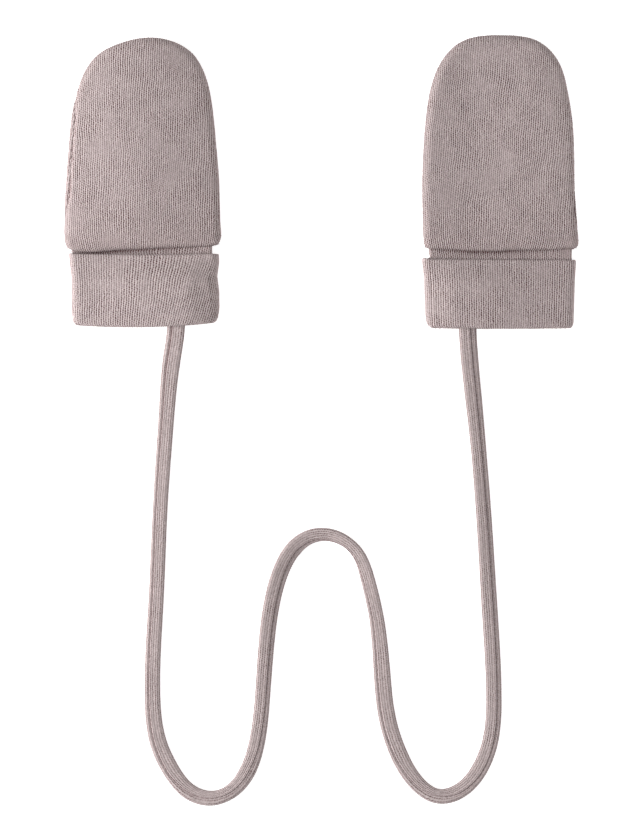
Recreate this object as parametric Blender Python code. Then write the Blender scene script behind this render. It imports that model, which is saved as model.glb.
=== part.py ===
"""A pair of baby's wool mittens lying flat, joined by a long cord of the same jersey.

Each mitten is a front and a back panel sewn round the sides and the tip, and a tube of jersey that is sewn
to the narrow wrist, runs down inside and is turned up over itself as the cuff. Both ends of the cord go into
the cuffs, between their front and back. Everything lies on the plane Z = 0, fingertips towards +Y.

Sizes and places are in millimetres, and MM turns them into Blender's metres at the very end.
"""

import math
from collections import namedtuple

import bmesh
import bpy
import numpy as np

MM = 0.001

# Cloth
PANEL_WALL = 2.0
CUFF_WALL = 1.4
LAYER_GAP = 0.35
SEAM_GAP = 0.3

# Hand panels: the edge folds over with a round section, and the inside is nearly closed
SEAM_LEVEL = 3.5
TOP_RISE = 3.8
EDGE_ROUND = 4.2
CROWN_REACH = 24.0
HEM_REACH = 10.0

# Cuff: the gap between its front and back, from the wrist down to the mouth, and the hollow's floor. GAP_OPENS is
# the share of the way down by which the gap is full
NECK_GAP = 0.3
MOUTH_GAP = 1.4
GAP_OPENS = 0.5
NECK_FLOOR = 3.35
MOUTH_FLOOR = 3.15
FLOOR_DROPS = 0.1
CORNER_REACH = 6.0
NECK_DEPTH = 1.9
NECK_HALF = NECK_GAP / 2 + CUFF_WALL
HOLE_HALF = NECK_HALF + SEAM_GAP / 2
TURN_UP = 2 * CUFF_WALL + LAYER_GAP

# The cuff's front stands higher over the cord's end, over this half width and this far down, and falls slowly
# from there to its sides
CORD_ROOM = 3.7
ROOM_HALF = 4.5
ROOM_STARTS = 0.08
ROOM_FULL = 0.4

# Cord
CORD_WIDTH = 7.0
CORD_THICK = 3.0
CORD_FLOOR = CORD_THICK / 2 + 0.05
CORD_INSIDE = MOUTH_FLOOR + SEAM_GAP + CORD_THICK / 2
CORD_POINTS = 76

# A panel's first rows roll in to the wrist, and this row is the first of the flat hand
HEM_ROWS = 3

# Mesh density
ARC_STEPS = 3
FRONT_STEPS = 6
CUFF_STEPS = 8
FOLD_STEPS = 4

# Where the cuff's rings lie: down the inner layer from its end in the hand, and up the outer one from the fold
INNER_PLACES = (0.0, 0.1, 0.2, 0.3, 0.45, 0.72)
OUTER_PARTS = (0.3, 0.58, 0.78, 0.9, 1.0)

# One end of a panel's outline or a cuff's edge on each side, measured from the mitten's own centre line
Row = namedtuple("Row", "left left_up right right_up")

# A stretch of the side seam that has rolled from the edge onto the front
Roll = namedtuple("Roll", "side low high fade angle")

# Everything that differs between the two mittens
Mitten = namedtuple(
    "Mitten",
    "name centre tip rows crown hem_sag roll cuff_rows top_up mouth_up mouth_bow mouth_bow_at corner cord_at",
)

LEFT = Mitten(
    name="left",
    centre=-82.3,
    tip=(3.2, 67.0),
    rows=(
        Row(-33.0, -32.1, 32.5, -30.2),
        Row(-34.8, -31.3, 34.6, -29.5),
        Row(-35.8, -29.0, 35.9, -27.2),
        Row(-36.1, -21.0, 36.1, -20.5),
        Row(-35.2, -2.0, 35.4, -2.0),
        Row(-33.8, 17.6, 33.9, 17.6),
        Row(-32.0, 33.0, 32.5, 33.0),
        Row(-29.6, 44.0, 30.6, 44.5),
        Row(-26.2, 52.0, 28.0, 52.2),
        Row(-21.2, 58.6, 24.0, 58.8),
        Row(-14.4, 62.8, 18.8, 63.0),
        Row(-6.4, 65.6, 12.4, 65.7),
    ),
    crown=1.9,
    hem_sag=0.5,
    roll=Roll(side="left", low=-20.0, high=42.0, fade=14.0, angle=45.0),
    cuff_rows=(
        Row(-34.4, -29.0, 34.0, -28.0),
        Row(-34.4, -32.2, 34.0, -31.0),
        Row(-33.6, -33.4, 35.2, -33.4),
        Row(-33.1, -38.0, 35.6, -38.0),
        Row(-32.1, -46.0, 34.8, -44.0),
        Row(-32.1, -54.0, 35.4, -52.0),
        Row(-32.4, -60.0, 35.6, -60.0),
        Row(-32.0, -66.0, 35.0, -66.0),
    ),
    top_up=-32.9,
    mouth_up=-66.5,
    mouth_bow=0.0014,
    mouth_bow_at=-1.0,
    corner=1.2,
    cord_at=15.6,
)

RIGHT = Mitten(
    name="right",
    centre=82.5,
    tip=(-0.4, 67.35),
    rows=(
        Row(-33.0, -31.3, 33.7, -31.2),
        Row(-34.8, -30.4, 35.4, -30.2),
        Row(-35.7, -28.0, 36.0, -27.4),
        Row(-36.0, -20.5, 35.6, -20.0),
        Row(-36.2, -2.0, 34.5, -4.0),
        Row(-35.7, 17.6, 33.9, 17.6),
        Row(-34.4, 33.0, 32.7, 33.0),
        Row(-32.2, 44.5, 30.6, 44.5),
        Row(-29.0, 53.0, 28.2, 53.0),
        Row(-24.2, 59.8, 23.8, 59.8),
        Row(-17.8, 64.9, 17.2, 64.9),
        Row(-10.6, 67.0, 10.0, 67.0),
    ),
    crown=1.2,
    hem_sag=0.9,
    roll=Roll(side="right", low=-24.0, high=-2.0, fade=8.0, angle=30.0),
    cuff_rows=(
        Row(-34.4, -29.0, 35.0, -29.0),
        Row(-34.4, -32.3, 35.0, -32.3),
        Row(-36.0, -35.3, 34.4, -35.3),
        Row(-36.3, -38.0, 34.6, -38.0),
        Row(-35.5, -46.0, 34.1, -46.0),
        Row(-35.1, -60.0, 33.7, -60.0),
        Row(-34.8, -67.0, 33.5, -67.0),
    ),
    top_up=-35.4,
    mouth_up=-67.35,
    mouth_bow=0.0003,
    mouth_bow_at=0.0,
    corner=1.0,
    cord_at=-15.6,
)

# The cord's route by hand, from inside the left cuff to inside the right one: across, up, height above the floor
CORD_ROUTE = (
    (-66.3, -49.0, CORD_INSIDE),
    (-66.5, -58.0, CORD_INSIDE),
    (-66.7, -67.0, CORD_INSIDE),
    (-69.0, -83.0, 2.3),
    (-71.1, -105.0, CORD_FLOOR),
    (-74.1, -149.0, CORD_FLOOR),
    (-76.1, -193.0, CORD_FLOOR),
    (-77.7, -237.0, CORD_FLOOR),
    (-74.5, -259.3, CORD_FLOOR),
    (-69.2, -270.4, CORD_FLOOR),
    (-60.8, -280.3, CORD_FLOOR),
    (-51.3, -283.4, CORD_FLOOR),
    (-42.0, -280.3, CORD_FLOOR),
    (-34.0, -270.4, CORD_FLOOR),
    (-30.3, -259.3, CORD_FLOOR),
    (-27.4, -237.0, CORD_FLOOR),
    (-25.3, -209.6, CORD_FLOOR),
    (-21.7, -187.6, CORD_FLOOR),
    (-17.9, -176.5, CORD_FLOOR),
    (-12.7, -168.2, CORD_FLOOR),
    (-5.3, -162.9, CORD_FLOOR),
    (2.1, -161.9, CORD_FLOOR),
    (9.8, -164.2, CORD_FLOOR),
    (17.2, -171.2, CORD_FLOOR),
    (21.3, -182.0, CORD_FLOOR),
    (25.2, -198.6, CORD_FLOOR),
    (28.1, -226.0, CORD_FLOOR),
    (30.9, -248.3, CORD_FLOOR),
    (36.6, -264.8, CORD_FLOOR),
    (43.9, -276.2, CORD_FLOOR),
    (54.0, -282.5, CORD_FLOOR),
    (63.9, -279.7, CORD_FLOOR),
    (72.4, -270.4, CORD_FLOOR),
    (77.1, -259.0, CORD_FLOOR),
    (79.2, -237.0, CORD_FLOOR),
    (77.4, -198.6, CORD_FLOOR),
    (74.3, -149.0, CORD_FLOOR),
    (69.9, -100.0, CORD_FLOOR + 0.3),
    (66.9, -67.0, CORD_INSIDE),
    (66.7, -49.0, CORD_INSIDE),
)

WOOL_COLOUR = (0.41, 0.345, 0.33, 1.0)
WOOL_ROUGHNESS = 0.95


def ease(t):
    """Rises smoothly from 0 to 1 as t does."""
    t = min(max(t, 0.0), 1.0)
    return t * t * (3 - 2 * t)


def mix(a, b, t):
    return a + (b - a) * t


def curve_through(points, steps):
    """Points on a natural cubic spline through the given ones, with so many steps between two neighbours."""
    knots = np.array(points, float)
    spans = np.linalg.norm(np.diff(knots, axis=0), axis=1)
    count = len(knots)
    system = np.eye(count)
    bends = np.zeros_like(knots)
    for i in range(1, count - 1):
        system[i, i - 1] = spans[i - 1]
        system[i, i] = 2 * (spans[i - 1] + spans[i])
        system[i, i + 1] = spans[i]
        slope_after = (knots[i + 1] - knots[i]) / spans[i]
        slope_before = (knots[i] - knots[i - 1]) / spans[i - 1]
        bends[i] = 6 * (slope_after - slope_before)
    bends = np.linalg.solve(system, bends)
    found = []
    for i, span in enumerate(spans):
        for step in range(steps):
            t = step / steps
            s = 1 - t
            bow = (s**3 - s) * bends[i] + (t**3 - t) * bends[i + 1]
            found.append(s * knots[i] + t * knots[i + 1] + span**2 / 6 * bow)
    found.append(knots[-1])
    return np.array(found)


def even_points(path, count):
    """The same path with points an equal distance apart."""
    lengths = np.linalg.norm(np.diff(path, axis=0), axis=1)
    along = np.concatenate(([0.0], np.cumsum(lengths)))
    wanted = np.linspace(0.0, along[-1], count)
    columns = [np.interp(wanted, along, path[:, axis]) for axis in range(path.shape[1])]
    return np.stack(columns, axis=1)


# Hand panels


def outline(mitten):
    """The panel's edge from the hem's left end over the tip to its right end, and the way out at each point."""
    left = [(row.left, row.left_up) for row in mitten.rows]
    right = [(row.right, row.right_up) for row in reversed(mitten.rows)]
    edge = curve_through(left + [mitten.tip] + right, 2)
    along = np.gradient(edge, axis=0)
    along /= np.linalg.norm(along, axis=1)[:, None]
    outward = np.stack((-along[:, 1], along[:, 0]), axis=1)
    outward[0] = (0.0, -1.0)
    outward[-1] = (0.0, -1.0)
    middle = len(edge) // 2
    outward[middle] = (0.0, 1.0)
    return edge, outward


def seam_angle(mitten, side, up):
    """How far the side seam has rolled from the edge onto the front, in degrees."""
    roll = mitten.roll
    if side != roll.side:
        return 0.0
    return roll.angle * ease((up - roll.low) / roll.fade) * ease((roll.high - up) / roll.fade)


def crown_height(mitten, up):
    """How far the middle of the hand's front stands over its sides."""
    over_hem = np.clip((up - mitten.rows[0].left_up) / HEM_REACH, 0.0, 1.0)
    under_tip = np.clip((mitten.tip[1] - up) / CROWN_REACH, 0.0, 1.0)
    return mitten.crown * over_hem * (2 - over_hem) * under_tip * (2 - under_tip)


def panel_rows(mitten, front, inset):
    """The sections of one panel from hem to tip, on its outer face or moved in by the wall."""
    edge, outward = outline(mitten)
    last = len(edge) - 1
    hem_up = mitten.rows[HEM_ROWS].left_up
    rows = []
    for k in range(last // 2 + 1):
        turns = (abs(outward[k][0]), abs(outward[last - k][0]))
        ends = (edge[k] - inset * outward[k], edge[last - k] - inset * outward[last - k])
        up = (edge[k][1] + edge[last - k][1]) / 2
        half = np.linalg.norm(ends[1] - ends[0]) / 2
        turn = sum(turns) / 2
        if up < hem_up:
            rise = mix(HOLE_HALF, TOP_RISE, turn) - inset * turn
            drop = mix(HOLE_HALF, SEAM_LEVEL - SEAM_GAP / 2, turn) - inset * turn
            rounds = [mix(HOLE_HALF, EDGE_ROUND, t) - inset * t for t in turns]
        else:
            depth = min((mitten.tip[1] - up) / EDGE_ROUND, 1.0)
            swell = math.sqrt(1 - (1 - depth) ** 2)
            rise = (TOP_RISE - inset) * swell
            drop = (SEAM_LEVEL - SEAM_GAP / 2 - inset) * swell
            rounds = [min((EDGE_ROUND - inset) / max(t, 0.05), half) for t in turns]
        sag = mitten.hem_sag * (1 - turn) if up < hem_up else 0.0
        angles = (seam_angle(mitten, "left", up), seam_angle(mitten, "right", up))
        level = SEAM_LEVEL + (SEAM_GAP / 2 if front else -SEAM_GAP / 2)
        crown = crown_height(mitten, up)
        rows.append(section(mitten, ends, rounds, rise, drop, crown, angles, level, sag, front))
    return rows


def section(mitten, ends, rounds, rise, drop, crown, angles, level, sag, front):
    """One row of points across a panel: round at both ends from the seam on, straight between."""
    a, b = ends
    width = max(np.linalg.norm(b - a), 1e-9)
    far = 90.0 if front else -90.0
    across = []
    for step in range(ARC_STEPS + 1):
        angle = math.radians(mix(angles[0], far, step / ARC_STEPS))
        across.append((rounds[0] * (1 - math.cos(angle)), math.sin(angle)))
    start = rounds[0]
    stop = width - rounds[1]
    for step in range(1, FRONT_STEPS):
        across.append((mix(start, stop, step / FRONT_STEPS), math.sin(math.radians(far))))
    for step in range(ARC_STEPS, -1, -1):
        angle = math.radians(mix(angles[1], far, step / ARC_STEPS))
        across.append((width - rounds[1] * (1 - math.cos(angle)), math.sin(angle)))
    points = []
    for distance, height in across:
        part = distance / width
        spread = 1 - (2 * part - 1) ** 2
        x, y = mix(a, b, part)
        z = level + height * (rise if height > 0 else drop)
        if front:
            z += crown * spread * max(height, 0.0)
        points.append((x + mitten.centre, y - sag * spread, z))
    return points


# Cuffs


def hem_height(mitten, x):
    """Where the hand panels end and the narrow wrist starts."""
    row = mitten.rows[0]
    part = (x - row.left) / (row.right - row.left)
    spread = 1 - (2 * part - 1) ** 2
    return mix(row.left_up, row.right_up, part) - mitten.hem_sag * spread


def mouth_height(mitten, x):
    """The line of the fold at the cuff's mouth, with rounded corners."""
    low = mitten.cuff_rows[-1]
    bow = mitten.mouth_bow * (x - mitten.mouth_bow_at) ** 2
    beyond = max(low.left - x, x - low.right) + CORNER_REACH
    reach = min(max(beyond / CORNER_REACH, 0.0), 1.0)
    return mitten.mouth_up + bow + mitten.corner * reach**2


def side_gap(depth):
    """The gap between the cuff's front and back at its sides. depth is 0 in the hand and 1 at the mouth."""
    return mix(NECK_GAP, MOUTH_GAP, ease(depth / GAP_OPENS))


def cuff_gap(mitten, x, depth):
    """The gap anywhere across the cuff, wider round the cord."""
    low = mitten.cuff_rows[-1]
    side = low.left if x < mitten.cord_at else low.right
    fall = abs(side - mitten.cord_at) - ROOM_HALF
    beside = ease((abs(x - mitten.cord_at) - ROOM_HALF) / fall)
    opened = ease((depth - ROOM_STARTS) / (ROOM_FULL - ROOM_STARTS))
    return side_gap(depth) + (CORD_ROOM - MOUTH_GAP) * opened * (1 - beside)


def cuff_ring(mitten, place, out, drop_below):
    """One ring of the cuff: place is 0 at its end in the hand and 1 at the fold, out is how far it lies out
    from the hollow, and drop_below moves it past the fold."""
    rows = mitten.cuff_rows[::-1]
    lefts = [row.left for row in rows]
    rights = [row.right for row in rows]

    def height(x):
        start = hem_height(mitten, x) + NECK_DEPTH
        fold = mouth_height(mitten, x) + TURN_UP / 2
        return mix(start, fold, place) - drop_below

    depth = min(max(place, 0.0), 1.0)
    half_gap = side_gap(depth) / 2
    floor = mix(NECK_FLOOR, MOUTH_FLOOR, ease(depth / FLOOR_DROPS))
    left_up = height(lefts[0] + TURN_UP)
    right_up = height(rights[0] - TURN_UP)
    left = np.interp(left_up, [row.left_up for row in rows], lefts) + TURN_UP + half_gap
    right = np.interp(right_up, [row.right_up for row in rows], rights) - TURN_UP - half_gap
    middle = floor + half_gap
    radius = half_gap + out
    points = []
    for step in range(CUFF_STEPS):
        x = mix(left, right, step / CUFF_STEPS)
        points.append((x, height(x), floor + cuff_gap(mitten, x, depth) + out))
    for step in range(2 * ARC_STEPS):
        angle = math.radians(90 - 180 * step / (2 * ARC_STEPS))
        points.append((right + radius * math.cos(angle), right_up, middle + radius * math.sin(angle)))
    for step in range(CUFF_STEPS // 2):
        x = mix(right, left, step / (CUFF_STEPS // 2))
        points.append((x, height(x), floor - out))
    for step in range(2 * ARC_STEPS):
        angle = math.radians(-90 - 180 * step / (2 * ARC_STEPS))
        points.append((left + radius * math.cos(angle), left_up, middle + radius * math.sin(angle)))
    return [(x + mitten.centre, y, z) for x, y, z in points]


def top_place(mitten):
    """Where the turned-up layer ends, as a place between the wrist's end and the fold."""
    start = hem_height(mitten, 0.0) + NECK_DEPTH
    fold = mouth_height(mitten, 0.0) + TURN_UP / 2
    return (start - mitten.top_up) / (start - fold)


def cuff_rings(mitten, hollow_side):
    """The rings of one face of the cloth: down the inner layer, round the fold and up the turned-up one."""
    if hollow_side:
        inner, outer = 0.0, TURN_UP
    else:
        inner, outer = CUFF_WALL, TURN_UP - CUFF_WALL
    radius = (outer - inner) / 2
    rings = []
    for place in INNER_PLACES:
        rings.append(cuff_ring(mitten, place, inner, 0.0))
    for step in range(FOLD_STEPS + 1):
        turn = math.pi * step / FOLD_STEPS
        out = TURN_UP / 2 - radius * math.cos(turn)
        rings.append(cuff_ring(mitten, 1.0, out, radius * math.sin(turn)))
    top = top_place(mitten)
    for part in OUTER_PARTS:
        rings.append(cuff_ring(mitten, mix(1.0, top, part), outer, 0.0))
    return rings


# Meshes


def wool(name):
    """Matt wool jersey in a warm taupe."""
    material = bpy.data.materials.new(name)
    material.use_nodes = True
    shader = material.node_tree.nodes["Principled BSDF"]
    shader.inputs["Base Color"].default_value = WOOL_COLOUR
    shader.inputs["Roughness"].default_value = WOOL_ROUGHNESS
    return material


def cloth_wall(name, outer, inner, tube, collection):
    """A closed wall of cloth between two faces of like rings, with a rim wherever the rings end."""
    mesh = bmesh.new()
    faces = []
    for rings in (outer, inner):
        faces.append([[mesh.verts.new([c * MM for c in point]) for point in ring] for ring in rings])
    columns = len(outer[0])
    steps = columns if tube else columns - 1
    for grid in faces:
        for low, high in zip(grid, grid[1:]):
            for i in range(steps):
                j = (i + 1) % columns
                mesh.faces.new((low[i], low[j], high[j], high[i]))
    for row in (0, -1):
        for i in range(steps):
            j = (i + 1) % columns
            mesh.faces.new((faces[0][row][i], faces[0][row][j], faces[1][row][j], faces[1][row][i]))
    if not tube:
        for column in (0, -1):
            for k in range(len(outer) - 1):
                edge = (faces[0][k][column], faces[0][k + 1][column])
                back = (faces[1][k + 1][column], faces[1][k][column])
                mesh.faces.new(edge + back)
    bmesh.ops.remove_doubles(mesh, verts=mesh.verts, dist=1e-6)
    bmesh.ops.dissolve_degenerate(mesh, edges=mesh.edges, dist=1e-6)
    bmesh.ops.recalc_face_normals(mesh, faces=mesh.faces)
    data = bpy.data.meshes.new(name)
    mesh.to_mesh(data)
    mesh.free()
    data.materials.append(wool(name))
    data.shade_smooth()
    piece = bpy.data.objects.new(name, data)
    collection.objects.link(piece)
    return piece


def make_panel(mitten, side, collection):
    front = side == "front"
    outer = panel_rows(mitten, front, 0.0)
    inner = panel_rows(mitten, front, PANEL_WALL)
    return cloth_wall(f"{mitten.name}_mitten_{side}", outer, inner, False, collection)


def make_cuff(mitten, collection):
    return cloth_wall(f"{mitten.name}_cuff", cuff_rings(mitten, True), cuff_rings(mitten, False), True, collection)


def make_cord(collection):
    """The cord as one flat round-edged tube: a round one, flattened by the object's own height scale."""
    flat = CORD_THICK / CORD_WIDTH
    path = curve_through(CORD_ROUTE, 12)
    path[:, 2] = np.maximum(path[:, 2], CORD_FLOOR)
    path = even_points(path, CORD_POINTS)
    data = bpy.data.curves.new("cord", "CURVE")
    data.dimensions = "3D"
    data.twist_mode = "Z_UP"
    data.bevel_depth = CORD_WIDTH / 2 * MM
    data.bevel_resolution = 2
    data.use_fill_caps = True
    spline = data.splines.new("POLY")
    spline.points.add(CORD_POINTS - 1)
    for point, (x, y, z) in zip(spline.points, path):
        point.co = (x * MM, y * MM, z * MM / flat, 1.0)
    data.materials.append(wool("cord"))
    cord = bpy.data.objects.new("cord", data)
    cord.scale = (1.0, 1.0, flat)
    collection.objects.link(cord)
    return cord


def main():
    for thing in list(bpy.data.objects):
        bpy.data.objects.remove(thing)
    collection = bpy.data.collections.new("baby_mittens")
    bpy.context.scene.collection.children.link(collection)
    for mitten in (LEFT, RIGHT):
        make_panel(mitten, "front", collection)
        make_panel(mitten, "back", collection)
        make_cuff(mitten, collection)
    make_cord(collection)


main()
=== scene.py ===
"""The looks of a pair of baby's wool mittens on a cord, laid flat: knitted jersey, sewing, stage and camera.

Every cloth piece is a thin shell on the form of its solid. Its faces follow the knit, so that each wale and
each course is raised in the mesh, and its UV map counts wales and courses, which the wool's material reads.
Sizes and places are in millimetres, as in the part's source, and MM turns them into metres.
"""

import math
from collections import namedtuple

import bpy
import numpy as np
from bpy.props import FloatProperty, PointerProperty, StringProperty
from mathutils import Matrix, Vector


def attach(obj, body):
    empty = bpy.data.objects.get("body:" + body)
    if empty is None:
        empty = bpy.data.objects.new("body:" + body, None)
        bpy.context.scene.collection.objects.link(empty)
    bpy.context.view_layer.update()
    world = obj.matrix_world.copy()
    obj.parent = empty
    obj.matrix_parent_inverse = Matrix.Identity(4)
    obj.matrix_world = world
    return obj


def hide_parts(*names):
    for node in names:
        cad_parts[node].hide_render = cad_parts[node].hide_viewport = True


bl_info = {
    "name": "Baby Mittens",
    "version": (1, 0, 0),
    "blender": (4, 5, 0),
    "location": "View3D > Sidebar > Mittens",
    "description": "Builds a pair of wool mittens on a cord from knitted shells",
    "category": "Add Mesh",
}

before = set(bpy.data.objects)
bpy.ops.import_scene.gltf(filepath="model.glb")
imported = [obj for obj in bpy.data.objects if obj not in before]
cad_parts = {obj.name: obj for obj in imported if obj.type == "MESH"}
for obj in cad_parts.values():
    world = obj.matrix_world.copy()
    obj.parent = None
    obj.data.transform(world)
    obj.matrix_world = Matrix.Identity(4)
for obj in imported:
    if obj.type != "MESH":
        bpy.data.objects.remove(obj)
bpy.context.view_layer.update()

MM = 0.001

# Cloth
PANEL_WALL = 2.0
CUFF_WALL = 1.4
LAYER_GAP = 0.35
SEAM_GAP = 0.3

# Hand panels: how finely the outline is followed, then their form
SIDE_STEPS = 16
HEM_POINTS = 60
OUTLINE_POINTS = 600
SEAM_LEVEL = 3.5
TOP_RISE = 3.8
EDGE_ROUND = 4.2
CROWN_REACH = 24.0
HEM_REACH = 10.0
HEM_ROUND = 2.0
HEM_ROWS = 3
SEAM_DRAW = 0.6
SEAM_SOFT = 1.0
INNER_RINGS = ((0.0, 0.0), (0.3, 0.6), (0.8, 1.0))
HEM_GATHER = 0.09
GATHER_FULL = 4.0
GATHER_REACH = 6.0
SWELL_STARTS = 2.0
SWELL_FULL = 8.0

# Cuff: the gap between its front and back, from the wrist down to the mouth
NECK_GAP = 0.3
MOUTH_GAP = 1.4
CUFF_SWELL = 0.5
GAP_OPENS = 0.5
NECK_FLOOR = 3.35
MOUTH_FLOOR = 3.15
FLOOR_DROPS = 0.1
NECK_DEPTH = 1.9
NECK_DIP = 0.8
DIP_HALF = 1.2
DIP_FADE = 6.0
NECK_HALF = NECK_GAP / 2 + CUFF_WALL
HOLE_HALF = NECK_HALF + SEAM_GAP / 2
TURN_UP = 2 * CUFF_WALL + LAYER_GAP
CORD_ROOM = 3.7
ROOM_HALF = 4.5
ROOM_STARTS = 0.05
ROOM_FULL = 0.52

# How much of the cuff's inside and of the wrist shows, how many rows the hidden parts have, and how many
# courses the weave counts before 0
SEEN_INSIDE = 9.0
SEEN_WRIST = 11.0
HIDDEN_ROWS = 6
COURSES_BEFORE = 45.0

# The height over which the cuff's wales lean, and where round the cuff they lean most, as shares of its girth
LEAN_HEIGHT = 32.0
LEAN_AT = 0.42
LEAN_HALF = 0.2

# How dark the colour is painted, 0 to 1, as painted shade in creases, round the folded rims, in the joins and
# round the hem, and how far that reaches
PAINTED_SHADE_STRENGTH = 0.55
RIM_PAINTED_SHADE = 0.6
CUFF_RIM_PAINTED_SHADE = 0.1
RIM_SHADE_POWER = 1.3
JOIN_PAINTED_SHADE = 1.0
HEM_SHADE = 0.2
HEM_SHADE_REACH = 17.0
LINE_UNDER = 0.3
LINE_WIDTH = 0.5
CREASE_PULL = 0.6

# The knit is flatter at the cuff's sides
SIDE_RELIEF = 0.4
SIDE_REACH = 2.5

# Cord
CORD_WIDTH = 7.0
CORD_EDGE = CORD_WIDTH / 2 + 0.35
CORD_THICK = 3.0
CORD_FLOOR = CORD_THICK / 2 + 0.05
CORD_INSIDE = MOUTH_FLOOR + SEAM_GAP + CORD_THICK / 2

# The cord's knit is pulled tight, so it is shallower than the hands'
CORD_WALES = 18
CORD_RELIEF = 0.4
CORD_OPENNESS = 0.48

# Sewing: points of the cord's path left unsewn at each end, how far its thread stands out of the groove, what
# share of the pitch a stitch covers, and the side seam's thicker thread, which slants across the join
UNSEWN = 6
THREAD_RISE = 0.04
CORD_STITCH = 0.72
SIDE_STITCH = 1.5
SIDE_THREAD = 1.1
SIDE_SLANT = math.radians(-10.0)

# How finely the mesh follows the knit, how far its grid starts outside a panel, and how many points are
# compared with an outline at a time
COLUMNS_PER_WALE = 3
ROWS_PER_COURSE = 2
KNIT_REACH = 8.0
BLOCK = 4000
UV_SPAN = 120.0

# The stage in metres: the picture's middle, the strength of the light all round, and each lamp's name, place,
# width, height and the setting with its power
MIDDLE = (0.0, -0.1093, 0.0)
ROOM_LIGHT = 0.3
LIGHTS = (
    ("window", (-1.25, -0.2, 0.57), 0.7, 0.9, "key_power"),
    ("reflector", (1.1, 0.0, 0.3), 0.9, 0.5, "reflector_power"),
    ("ceiling", (0.1, -0.1, 1.9), 1.6, 1.6, "fill_power"),
)

# How far the wales stray sideways: the length and the size of each of its waves
WANDER_WAVES = ((40.0, 0.35), (17.0, 0.14), (9.0, 0.07))

Row = namedtuple("Row", "left left_up right right_up")
Roll = namedtuple("Roll", "side low high fade angle")
Swell = namedtuple("Swell", "across up half_width half_length height")


def table(kind, *entries):
    """Entries as named tuples of one kind."""
    return [kind(*entry) for entry in entries]


# Everything that differs between the two mittens
Mitten = namedtuple(
    "Mitten",
    "name centre tip rows crown hem roll cuff_rows top_up top_rises "
    "mouth_up mouth_bow mouth_bow_at corner cord_at lean cuff_lean relief crease swells",
)

LEFT = Mitten(
    name="left",
    centre=-82.3,
    tip=(3.2, 67.0),
    rows=table(
        Row,
        (-32.9, -31.4, 32.5, -29.5), (-34.8, -30.4, 34.7, -28.9), (-35.9, -28.1, 36.1, -26.8),
        (-36.4, -21.0, 36.4, -20.5), (-35.5, -2.0, 35.8, -2.0), (-34.1, 17.6, 34.3, 17.6),
        (-32.4, 33.0, 32.8, 33.0), (-29.8, 44.0, 30.8, 44.5), (-26.4, 52.0, 28.1, 52.2),
        (-21.2, 58.6, 24.0, 58.8), (-14.4, 62.8, 18.8, 63.0), (-6.4, 65.6, 12.4, 65.7),
    ),
    crown=2.6,
    hem=(
        (-29.5, -32.0), (-26.5, -32.25), (-21.9, -32.3), (-17.3, -32.0), (-10.4, -31.4),
        (1.1, -30.9), (17.2, -30.2),
    ),
    roll=Roll(side="left", low=-20.0, high=42.0, fade=14.0, angle=57.0),
    cuff_rows=table(
        Row,
        (-33.5, -30.6, 33.8, -28.0), (-34.8, -32.6, 33.8, -32.6), (-34.1, -33.4, 35.2, -33.4),
        (-33.6, -38.0, 35.3, -38.0), (-32.7, -46.0, 34.5, -44.0), (-32.6, -54.0, 35.3, -52.0),
        (-32.8, -60.0, 35.5, -60.0), (-32.4, -66.0, 35.0, -66.0),
    ),
    top_up=-33.3,
    top_rises=(0.3, 0.2),
    mouth_up=-66.85,
    mouth_bow=0.0015,
    mouth_bow_at=-5.0,
    corner=(2.6, 3.0),
    cord_at=15.6,
    lean=0.01,
    cuff_lean=0.3,
    relief=1.0,
    # The painted shade of the crease under the hem: across, darkness
    crease=((-33.0, 0.2), (-28.0, 0.6), (-20.0, 1.0), (-5.0, 1.0), (10.0, 0.7), (32.0, 0.3)),
    swells=table(
        Swell,
        (0.0, 8.0, 21.0, 50.0, 0.9), (-14.0, 34.0, 12.0, 14.0, 0.35), (18.0, -16.0, 10.0, 12.0, -0.2),
        (-30.0, -20.0, 11.0, 14.0, 0.5),
    ),
)

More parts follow.
